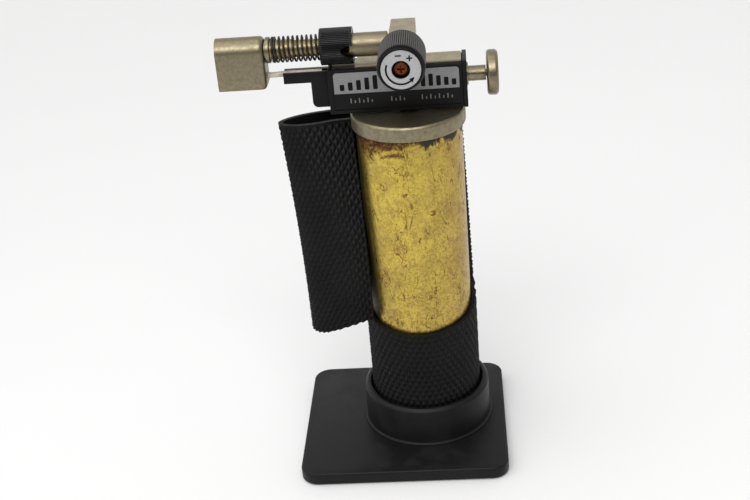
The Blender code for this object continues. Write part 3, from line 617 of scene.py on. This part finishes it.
FLAP_LINE_STEPS = 400
FLAP_TOP_RISE = 0.9
FLAP_TIP_DROP = 4.8
FLAP_END_DROP = 1.6
FLAP_BELLY = 1.6             # how far the flap's front lower edge hangs below a straight line
CORNER_START = -30.0         # angle where the cut begins to turn up into the strip's edge
CORNER_RISE = 7.0


def cut_height(angle):
    """Height of the wavy knife cut at an angle in degrees; it turns up where the strip begins."""
    towards_back = (1 + math.sin(math.radians(angle))) / 2
    height = 43.4 + 8.0 * towards_back * (1 - towards_back / 2)
    turn = (angle + 180) % 360 - 180
    if CORNER_START < turn <= STRIP_START[0]:
        t = (turn - CORNER_START) / (STRIP_START[0] - CORNER_START)
        height += CORNER_RISE * (1 - math.sqrt(max(0.0, 1 - t * t)))
    elif STRIP_START[0] < turn <= STRIP_END:
        height += CORNER_RISE * (STRIP_END - turn) / (STRIP_END - STRIP_START[0])
    return height + 0.25 * noise.noise(Vector((angle / 14.0, 0, 0)))


def on_tank(angle, height):
    """Middle point and outward direction of the sleeve's wall where it lies on the tank."""
    a = math.radians(angle)
    out = Vector((math.cos(a), math.sin(a), 0))
    return out * SLEEVE_R + Vector((0, 0, height)), out


def band_columns():
    """Columns of the lower band, which goes all round the tank from its foot to the knife cut."""
    columns = []
    for i in range(BAND_COLUMNS):
        angle = STRIP_END + COLUMN_TURN * i
        top = cut_height(angle)
        columns.append([on_tank(angle, SLEEVE_LOW + (top - SLEEVE_LOW) * j / BAND_ROWS)
                        for j in range(BAND_ROWS + 1)])
    return columns


def strip_columns():
    """Columns of the strip behind the tank, from its torn slanting edge to the flap's hinge."""
    columns = []
    count = BAND_COLUMNS - FIRST_STRIP
    for i in range(count + 1):
        foot_angle = STRIP_END + COLUMN_TURN * (FIRST_STRIP + i)
        foot = cut_height(foot_angle)
        share = 1 - i / count
        column = []
        for j in range(UPPER_ROWS + 1):
            up = j / UPPER_ROWS
            ragged = 0.35 * noise.noise(Vector((up * 17, 3.1, 0))) * share ** 6
            lean = (STRIP_START[1] - STRIP_START[0]) * up + ragged
            column.append(on_tank(foot_angle + lean * share, foot + (SLEEVE_TOP - foot) * up))
        columns.append(column)
    return columns


def flap_columns(behind):
    """Columns of the peeled flap, ruled between its two outlines; `behind` is the strip's last column."""
    hinge = math.radians(STRIP_END)
    leave = Vector((SLEEVE_R * math.cos(hinge), SLEEVE_R * math.sin(hinge)))
    lines = [smooth_line((leave,) + line, FLAP_LINE_STEPS) for line in (FLAP_TOP_LINE, FLAP_LOW_LINE)]
    length = sum(sum((b - a).length for a, b in zip(line, line[1:])) for line in lines) / 2
    count = int(length / (math.tau * SLEEVE_R / BAND_COLUMNS))
    foot = cut_height(STRIP_END)
    places = []
    for i in range(1, count + 1):
        along = i / count
        k = min(int(FLAP_LINE_STEPS * along), FLAP_LINE_STEPS - 1)
        top, bottom = [line[k].lerp(line[k + 1], FLAP_LINE_STEPS * along - k) for line in lines]
        reach = math.sin(math.pi * along) ** 2
        belly = math.sin(math.pi * min(1.0, max(0.0, (along - 0.5) / 0.5))) ** 2
        torn = 0.3 * noise.noise(Vector((along * 60, 0.7, 0)))
        torn += 0.15 * noise.noise(Vector((along * 190, 2.7, 0)))
        low = foot - FLAP_TIP_DROP * reach - FLAP_END_DROP * along - FLAP_BELLY * belly + torn
        high = SLEEVE_TOP + FLAP_TOP_RISE * reach
        column = []
        for j in range(UPPER_ROWS + 1):
            up = j / UPPER_ROWS
            flat = bottom.lerp(top, up * up)
            column.append(Vector((flat.x, flat.y, low + (high - low) * up)))
        places.append(column)

    columns = []
    before = [[spot for spot, _ in behind]] + places
    for last, column, following in zip(before, places, places[1:] + places[-1:]):
        made = []
        for a, spot, b in zip(last, column, following):
            ahead = b - a
            made.append((spot, Vector((ahead.y, -ahead.x, 0)).normalized()))
        columns.append(made)
    return columns


def knurl(i, j):
    """Relief of the lozenge knurl at a column and row: 0 in a groove, 1 on a crown, plain at the mouth."""
    if j >= PLAIN_ROW:
        return 0.75
    across, down = (i + j) % LOZENGE, (i - j) % LOZENGE
    from_groove = min(across, LOZENGE - across, down, LOZENGE - down)
    return (0.0, 0.3, 0.78, 1.0)[from_groove]


def make_sleeve():
    """Rubber sleeve with a moulded lozenge knurl outside and a smooth face inside."""
    band, upper = band_columns(), strip_columns()
    upper += flap_columns(upper[-1])
    bm = bmesh.new()

    def outside(spot, out, i, j):
        return bm.verts.new(spot + out * (SLEEVE_WALL / 2 - KNURL_DEPTH * (1 - knurl(i, j))))

    def inside(spot, out):
        return bm.verts.new(spot - out * SLEEVE_WALL / 2)

    def skin(a, b, c, d, i, j):
        """A cell of the knurl, round from its low left corner, split along a groove that crosses it."""
        if (i - j) % LOZENGE == 0:
            cell = (a, b, c), (a, c, d)
        elif (i + j + 1) % LOZENGE == 0:
            cell = (a, b, d), (b, c, d)
        else:
            cell = ((a, b, c, d),)
        for corners in cell:
            bm.faces.new(corners)

    band_out = [[outside(*spot, i, j) for j, spot in enumerate(column)] for i, column in enumerate(band)]
    inner_rows = list(range(0, BAND_ROWS, INNER_EVERY)) + [BAND_ROWS]
    band_in = [[inside(*column[j]) for j in inner_rows] for column in band]
    upper_out, upper_in = [], []
    for k, column in enumerate(upper, FIRST_STRIP):
        shared = k <= BAND_COLUMNS          # the strip grows out of the band's last row
        upper_out.append([band_out[k % BAND_COLUMNS][-1]] if shared else [])
        upper_in.append([band_in[k % BAND_COLUMNS][-1]] if shared else [])
        first = 1 if shared else 0
        upper_out[-1] += [outside(*column[j], k, BAND_ROWS + j) for j in range(first, UPPER_ROWS + 1)]
        upper_in[-1] += [inside(*column[j]) for j in range(first * INNER_EVERY, UPPER_ROWS + 1, INNER_EVERY)]

    def faces_between(outer_columns, inner_columns, start, base):
        for i, (a, b) in enumerate(zip(outer_columns, outer_columns[1:])):
            for j in range(len(a) - 1):
                skin(a[j], b[j], b[j + 1], a[j + 1], start + i, base + j)
        for c, d in zip(inner_columns, inner_columns[1:]):
            for j in range(len(c) - 1):
                bm.faces.new((c[j], c[j + 1], d[j + 1], d[j]))

    faces_between(band_out + band_out[:1], band_in + band_in[:1], 0, 0)
    faces_between(upper_out, upper_in, FIRST_STRIP, BAND_ROWS)
    for i in range(BAND_COLUMNS):
        j = (i + 1) % BAND_COLUMNS
        bm.faces.new((band_out[i][0], band_in[i][0], band_in[j][0], band_out[j][0]))
        if i < FIRST_STRIP:
            bm.faces.new((band_out[i][-1], band_out[j][-1], band_in[j][-1], band_in[i][-1]))
    for i in range(len(upper_out) - 1):
        bm.faces.new((upper_out[i][-1], upper_out[i + 1][-1], upper_in[i + 1][-1], upper_in[i][-1]))
        if i >= BAND_COLUMNS - FIRST_STRIP:
            bm.faces.new((upper_out[i][0], upper_in[i][0], upper_in[i + 1][0], upper_out[i + 1][0]))
    for end in (0, -1):
        for k, (low, high) in enumerate(zip(upper_in[end], upper_in[end][1:])):
            run = upper_out[end][k * INNER_EVERY:(k + 1) * INNER_EVERY + 1]
            bm.faces.new([low, high] + run[::-1])
    piece(bm, "grip_sleeve_knurled", "rubber", "torch", "grip_sleeve", 28)


# ---- head

MARK_PROUD = 0.035
MARK_GAP = 0.002


def make_mark(name, x, z, wide, tall, front, corner, steps, look):
    """A thin printed mark with rounded corners, standing a little proud of the face behind it."""
    outline = rounded_rectangle((x, x + wide), (z, z + tall), corner, steps)
    piece(prism(outline, (front - MARK_PROUD, front - MARK_GAP), "Y", 0.01, segments=1), name, look, "torch")


def make_label():
    """Foil label with rounded upper corners over a printed black band, and generic scale marks."""
    (left, right), (low, high), corner = span("label_plate", "X"), span("label_plate", "Z"), 0.9
    y_range = span("label_plate", "Y")
    outline = [(left, low), (right, low)] + arc((right - corner, high - corner), corner, 0, 90, 6)
    outline += arc((left + corner, high - corner), corner, 90, 180, 6)
    piece(prism(outline, y_range, "Y", 0.04), "label_foil_plate", "silver", "torch", "label_plate")
    heights = (1.9, 2.5, 3.1, 3.7, 4.3)
    bars = []
    for k, tall in enumerate(heights):
        bars += [(-19.2 + 2.45 * k, 1.35, tall), (4.6 + 2.25 * k, 1.3, heights[-1 - k])]
    for n, (x, wide, tall) in enumerate(bars):
        make_mark(f"label_bar_{n + 1}", x, low + 0.95, wide, tall, y_range[0], 0.3, 4, "ink")
    cover_face, tick_foot = -4.8, 116.8
    ticks = [start + 1.25 * k for start, count in ((-16.4, 6), (-4.4, 4), (4.6, 8)) for k in range(count)]
    for n, x in enumerate(ticks):
        tall = 0.9 if n % 2 else 1.5
        make_mark(f"scale_tick_{n + 1}", x, tick_foot, 0.34, tall, cover_face, 0.12, 3, "pale_ink")


def make_arm():
    """Insulating arm with softly moulded corners and its open channel."""
    left, right = span("electrode_arm", "X")[0], span("rear_cover", "X")[0]
    low, top = span("electrode_arm", "Z")
    knee, step, turn, half_depth = -27.8, 123.0, 1.6, half("electrode_arm", "Y")
    corner = arc((knee + turn, low + turn), turn, 180, 270, 10)
    outline = [(left, top), (left, step), (knee, step)] + corner + [(right, low), (right, top)]
    arm = piece(prism(outline, (-half_depth, half_depth), "Y", 0.22), "electrode_arm_moulded", "head",
                "torch", "electrode_arm")
    channel = [(0.7, top + 1), (-1.5, top + 1), (-1.5, top - 1.8), (0.7, top - 1.8)]
    cut(arm, prism(channel, (left - 1, right + 1), "X"))


def make_end_cap():
    """Moulded cap that closes the head's right end, with a hole for the bushing."""
    y_range, z_range = span("head_end_cap", "Y"), span("head_end_cap", "Z")
    ends = (span("rear_cover", "X")[1], span("head_end_cap", "X")[1])
    block = prism(rounded_rectangle(y_range, z_range, 0.4, 5), ends, "X", 0.2)
    cap = piece(block, "head_end_cap_moulded", "head", "torch", "head_end_cap")
    cut(cap, rod(3.5, 15.0, 20.0, "X", PLUNGER_AXIS, 48))


LEAD_Y = -0.4
LEAD_Z = 125.6
HOOD_LEAD_Z = LEAD_Z - 0.1     # where the lead goes through the hood


def make_lead():
    """Spark lead: a translucent covering over a thin scorched wire."""
    route = [(x, LEAD_Z) for x in (-24.4, -30.0, -36.0)] + [(-39.0, HOOD_LEAD_Z), (-43.0, HOOD_LEAD_Z)]
    core = [(-18.8, 124.2), (-21.0, LEAD_Z)] + route + [(-46.4, 126.6), (-47.0, 127.8)]
    for name, points, outer, inner, look, node, slot in (
            ("lead_covering", route, 0.85, 0.45, "lead", "spark_lead", "lead_insulation"),
            ("lead_core", core, 0.24, 0.0, "copper", "electrode_wire", "copper")):
        line = [Vector((p.x, LEAD_Y, p.y)) for p in smooth_line(points, 48)]
        piece(sweep(line, outer, 24, inner), name, look, "torch", node)


def turned(outline, edge, node, look, body, at=AXIS, steps=96):
    """A piece turned about an axis along X; its outline is open where it starts and ends on the axis."""
    bm = lathe(soften(outline, edge, closed=outline[0][0] > 0), "X", at, steps)
    return piece(bm, f"{node}_turned", look, body, node)


def turned_tube(outer, inner, edge, node, look, at=AXIS, steps=96, how="turned"):
    bm = lathe(tube_outline(*span(node, "X"), outer, inner, edge), "X", at, steps)
    return piece(bm, f"{node}_{how}", look, "torch", node)


def make_button():
    """Turned igniter button with a rounded face, on its polished shaft."""
    low, high = span("igniter_button", "X")
    radius = half("igniter_button", "Z")
    button = [(0, low + 1.8), (1.3, low + 1.8), (1.3, low), (radius - 0.55, low), (radius, low + 0.55),
              (radius, high - 0.7), (radius - 0.7, high - 0.05), (0, high)]
    turned(button, 0.35, "igniter_button", "nickel_button", "igniter", PLUNGER_AXIS)
    low, high = span("plunger_shaft", "X")
    shaft = [(0, low), (3.1, low), (3.1, low + 1.5), (2.25, low + 1.5), (2.25, high - 1.8),
             (1.0, high - 1.8), (1.0, high), (0, high)]
    turned(shaft, 0.1, "plunger_shaft", "nickel_button", "igniter", PLUNGER_AXIS, 64)
    turned_tube(3.4, 2.55, 0.25, "plunger_bushing", "nickel_button", at=PLUNGER_AXIS, steps=64)


# ---- burner

HOOD_WALL = 0.7
AIR_HOLE_X = -16.9
SPRING_R = 3.6
SPRING_WIRE_R = 0.31
CLOSED_PITCH = 2.15            # rise of one turn in wire radii where a spring's turns lie side by side


def hood_section(inset):
    """Half-round over the burner, flat sides and rounded lower corners; (y, z) points."""
    radius = half("flame_hood", "Y") - inset
    corner = 1.5 - inset / 2
    side, low = radius - corner, span("flame_hood", "Z")[0] + inset + corner
    return arc((0, AXIS_Z), radius, 0, 180, 30) + arc((-side, low), corner, 180, 270, 8) + arc(
        (side, low), corner, 270, 360, 8)


def drawn_cup(inset, start, end, fillet):
    """A cup's skin as a closed solid: straight from `start`, closing at `end` round a fillet."""
    bm = bmesh.new()
    rings = []
    for x, shrink in [(start, 0.0)] + arc((end - fillet, fillet), fillet, -90, 0, 8):
        rings.append([bm.verts.new((x, y, z)) for y, z in hood_section(inset + shrink)])
    for low, high in zip(rings, rings[1:]):
        bridge(bm, low, high)
    bm.faces.new(rings[0])
    bm.faces.new(rings[-1])
    return bm


def make_hood():
    """Drawn nickel cup, open at the left, with holes for the barrel and the lead."""
    left, right = span("flame_hood", "X")
    hood = piece(drawn_cup(0.0, left, right, 1.5), "flame_hood_drawn", "nickel_hood", "torch", "flame_hood")
    cut(hood, drawn_cup(HOOD_WALL, left - 1, right - HOOD_WALL, 1.0), crease=30)
    cut(hood, rod(3.05, -43.0, -39.5, "X", AXIS), crease=30)
    cut(hood, rod(1.1, -43.0, -39.5, "X", (0, LEAD_Y, HOOD_LEAD_Z), 32), crease=30)


def make_burner():
    """Mixing tube, barrel, stop ring, spring and flame holder, all about the burner's axis."""
    tube = turned_tube(3.5, 2.45, 0.2, "mixing_tube", "nickel_tube", how="drawn")
    cut(tube, rod(1.5, -5.0, 5.0, "Y", (AIR_HOLE_X, 0, AXIS_Z), 40))
    low, high = span("burner_barrel", "X")
    barrel = [(1.5, low), (2.4, low), (2.85, low + 0.5), (2.85, -32.0), (2.5, -31.8), (2.5, -24.2),
              (2.1, -24.2), (2.1, high), (1.5, high)]
    turned(barrel, 0.12, "burner_barrel", "barrel", "torch")
    turned_tube(3.85, 3.05, 0.3, "stop_ring", "nickel_button")
    turned_tube(1.2, 0.4, 0.15, "flame_holder", "brass_turned", steps=48)
    line = wind(span("barrel_spring", "X"), SPRING_R, SPRING_WIRE_R, 11, 1.5,
                lambda along, a, b: Vector((along, b, AXIS_Z - a)))
    piece(sweep(line, SPRING_WIRE_R, 14), "barrel_spring_wound", "spring_dark", "torch", "barrel_spring")


def wind(ends, radius, wire, turns, closed, place):
    """Centre line of a spring between two ends, with `closed` turns laid side by side at its low end."""
    per_turn = 40
    closed_rise = CLOSED_PITCH * wire
    free_rise = (ends[1] - ends[0] - 2 * wire - closed_rise * closed) / (turns - closed)
    line = []
    for i in range(per_turn * turns + 1):
        turn = i / per_turn
        along = ends[0] + wire + closed_rise * min(turn, closed) + free_rise * max(turn - closed, 0.0)
        line.append(place(along, radius * math.cos(math.tau * turn), radius * math.sin(math.tau * turn)))
    return line


def make_hidden_springs():
    """Springs of the igniter and of the refill valve, each wound in the place of its CAD node."""
    ends, wire = span("plunger_spring", "X"), 0.27
    line = wind(ends, 2.5, wire, 5, 1.0, lambda along, a, b: Vector((along, b, PLUNGER_Z - a)))
    spring = piece(sweep(line, wire, 12), "plunger_spring_wound", "spring_steel", None, "plunger_spring")
    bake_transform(spring)

    ends, wire = span("refill_valve_spring", "Z"), 0.2
    line = wind(ends, 1.7, wire, 6, 1.0, lambda along, a, b: Vector((a, b, along)))
    spring = piece(sweep(line, wire, 12), "refill_valve_spring_wound", "spring_steel", None,
                   "refill_valve_spring")
    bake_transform(spring)


def make_air_ring():
    """Glossy ring with fine axial ridges and a slanted notch that uncovers the air hole."""
    low, high = span("air_ring", "X")
    radius = half("air_ring", "Z")

    def depth(r, x):
        return 0.15 if r > radius - 0.3 and low + 0.5 < x < high - 0.5 else 0.0

    outline = soften([(3.8, low), (radius, low), (radius, low + 0.9), (radius, high - 0.9), (radius, high),
                      (3.8, high)], 0.22)
    ring = piece(lathe(outline, "X", AXIS, ridges=60, depth=depth), "air_ring_ridged", "ring", "air_ring",
                 "air_ring", 25)
    notch = [(high + 1, AXIS_Z + 1.4), (high - 1.4, AXIS_Z + 1.5), (high - 3.6, AXIS_Z + 0.4),
             (high - 3.2, AXIS_Z - 1.0), (high - 1.2, AXIS_Z - 2.4), (high + 1, AXIS_Z - 2.6)]
    cut(ring, prism(soften(notch, 0.7), (-7.0, -2.0), "Y"), crease=25)


# ---- gas knob

KNOB_RIDGES = 68
KNOB_SHOULDER = 1.6            # length of the dark toothed shoulder


def make_knob():
    """Knurled knob with a toothed dark shoulder, its foil disc with an arrow, and the cross-head screw."""
    front, back = span("gas_knob", "Y")
    radius = half("gas_knob", "Z")

    def depth(r, y):
        return 0.42 if r > radius - 0.75 and front + 0.25 < y < back - 0.35 else 0.0

    body = [(1.8, back - 3.6), (4.3, back - 3.6), (4.3, back), (radius - 0.4, back), (radius, back - 0.4),
            (radius, back - 0.9), (radius, front + 1.7), (radius - 0.3, front + 0.75),
            (radius - 0.62, front + 0.15), (radius - 0.8, front), (5.8, front), (5.8, front + 0.55),
            (2.45, front + 0.55), (2.45, front + 2.3), (1.8, front + 2.3)]
    bm = lathe(soften(body, 0.1, 2), "Y", AXIS, ridges=KNOB_RIDGES, depth=depth)
    for face in bm.faces:
        if face.calc_center_median().y < front + KNOB_SHOULDER:
            face.material_index = 1
    piece(bm, "gas_knob_knurled", ("knob", "knob_dark"), "gas_knob", "gas_knob", 25)

    low, high = span("knob_label", "Y")
    piece(lathe(tube_outline(low, high, 5.6, 2.6, 0.06), "Y", AXIS, 96), "knob_foil_disc", "knob_silver",
          "gas_knob", "knob_label")
    mark_y, centre = (low - MARK_PROUD, low - MARK_GAP), (0, AXIS_Z)

    def ring_point(radius, angle):
        return arc(centre, radius, angle, angle, 1)[0]

    middle_r, thick = 4.15, 0.26
    line = arc(centre, middle_r + thick, 157, 309, 38) + arc(centre, middle_r - thick, 309, 157, 38)
    piece(prism(line, mark_y, "Y"), "knob_arrow_arc", "ink", "gas_knob")
    head = [ring_point(middle_r + side, angle) for side, angle in ((0.72, 308), (0.1, 329), (-0.72, 308))]
    piece(prism(head, mark_y, "Y"), "knob_arrow_head", "ink", "gas_knob")
    for n, (angle, wide, tall, lift) in enumerate(((98, 0.85, 0.2, 0.0), (52, 0.85, 0.2, 0.0),
                                                   (52, 0.2, 0.85, 0.004))):
        x, z = ring_point(4.1, angle)
        bar = rounded_rectangle((x - wide, x + wide), (z - tall, z + tall), 0.1, 3)
        piece(prism(bar, (mark_y[0] - lift, mark_y[1]), "Y"), f"knob_sign_{n + 1}", "ink", "gas_knob")

    face = span("knob_screw", "Y")[0]
    outline = [(0, face), (1.2, face + 0.04), (1.9, face + 0.3), (2.1, face + 0.6), (2.1, face + 1.3),
               (0.8, face + 1.3), (0.8, face + 6.1), (0, face + 6.1)]
    screw = piece(lathe(soften(outline, 0.2, closed=False), "Y", AXIS, 64), "knob_screw_turned", "screw_red",
                  "gas_knob", "knob_screw")
    for wide, tall in ((1.1, 0.25), (0.25, 1.1)):
        slot = rounded_rectangle((-wide, wide), (AXIS_Z - tall, AXIS_Z + tall), 0.1, 3)
        cut(screw, prism(slot, (face - 1.0, face + 0.9), "Y"))


# ---- pieces whose CAD shape stays

KEPT = {
    "steel": ("ballast_plate", "cover_screw_1", "cover_screw_2", "cover_screw_3"),
    "foot": ("foot_sheet",),
    "seal": ("tank_seal", "refill_valve_seal", "spindle_seal"),
    "head": ("front_cover", "rear_cover"),
    "brass_turned": ("refill_valve_body", "refill_valve_stem", "gas_jet"),
    "nickel_button": ("head_stud", "packing_nut"),
    "nickel_bar": ("chassis_plate", "valve_block"),
    "nickel_tube": ("gas_riser",),
    "piezo": ("piezo_unit",),
    "bronze": ("pickup_filter",),
    "spring_steel": ("needle_spindle",),
}


def dress_kept_nodes():
    for look, nodes in KEPT.items():
        for slot in [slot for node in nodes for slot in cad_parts[node].material_slots]:
            slot.material = LOOKS[look]


# ---- stage

CAMERA_PLACE = (0.0165, -0.3559, 0.2487)
CAMERA_TURN = (-4.815, 27.17, 5.036)     # degrees to the side, down, and tipped about its own view
CAMERA_LENS = 60.94
FLOOR_REACH = 6.0


def make_camera():
    """Camera at the viewing angle: a little left of the front, looking down, tipped slightly."""
    yaw, pitch, roll = [math.radians(a) for a in CAMERA_TURN]
    ahead = Vector((math.sin(yaw) * math.cos(pitch), math.cos(yaw) * math.cos(pitch), -math.sin(pitch)))
    level = Vector((math.cos(yaw), -math.sin(yaw), 0))
    above = level.cross(ahead)
    right = level * math.cos(roll) - above * math.sin(roll)
    up = level * math.sin(roll) + above * math.cos(roll)
    camera = bpy.data.cameras.new("camera")
    camera.sensor_width = 36.0
    camera.lens = CAMERA_LENS
    camera.clip_start = 0.01
    obj = add_object("camera", camera)
    obj.matrix_world = Matrix.Translation(CAMERA_PLACE) @ Matrix((right, up, -ahead)).transposed().to_4x4()
    bpy.context.scene.camera = obj


def make_lamp(name, kind, energy, turn, **settings):
    data = bpy.data.lights.new(name, kind)
    data.energy = energy
    for key, value in settings.items():
        setattr(data, key, value)
    obj = add_object(name, data)
    obj.rotation_euler = [math.radians(a) for a in turn]
    return obj


def make_stage():
    """Pale floor, a pale room that is darker towards the front, and soft lamps from above."""
    floor_mesh = bpy.data.meshes.new("floor")
    corners = [(x * FLOOR_REACH, y * FLOOR_REACH, 0) for x, y in ((-1, -1), (1, -1), (1, 1), (-1, 1))]
    floor_mesh.from_pydata(corners, [], [(0, 1, 2, 3)])
    floor = add_object("floor", floor_mesh)
    paper = Finish("floor_paper", (0.86, 0.86, 0.865), 0.75, Specular_IOR_Level=0.2)
    paper.paint(paper.mix(paper.noise(60.0, 3.0), (0.80, 0.80, 0.804), (0.815, 0.815, 0.817)))
    floor_mesh.materials.append(paper.material)

    world = bpy.data.worlds.new("studio")
    bpy.context.scene.world = world
    world.use_nodes = True
    nodes, links = world.node_tree.nodes, world.node_tree.links
    parts = nodes.new("ShaderNodeSeparateXYZ")
    links.new(nodes.new("ShaderNodeTexCoord").outputs["Generated"], parts.inputs[0])
    towards_front = nodes.new("ShaderNodeMapRange")
    for socket, value in (("From Min", -1.0), ("From Max", 0.6), ("To Min", 0.12), ("To Max", 0.85)):
        towards_front.inputs[socket].default_value = value
    links.new(parts.outputs["Y"], towards_front.inputs["Value"])
    links.new(towards_front.outputs[0], nodes["Background"].inputs["Strength"])
    nodes["Background"].inputs["Color"].default_value = (1.0, 0.995, 0.985, 1)

    make_lamp("sky_soft", "SUN", 1.65, (18, -26, 0), angle=math.radians(85))
    strip = make_lamp("strip_front", "AREA", 1.3, (48, 0, 0), shape="RECTANGLE", size=0.5, size_y=0.24)
    strip.location = (-0.05, -0.35, 0.52)


def main():
    view = bpy.context.scene.view_settings
    view.view_transform = "Standard"
    view.look = "None"
    make_camera()
    make_stage()
    make_stand()
    make_tank()
    make_sleeve()
    make_label()
    make_arm()
    make_end_cap()
    make_lead()
    make_button()
    make_hood()
    make_burner()
    make_hidden_springs()
    make_air_ring()
    make_knob()
    dress_kept_nodes()


main()
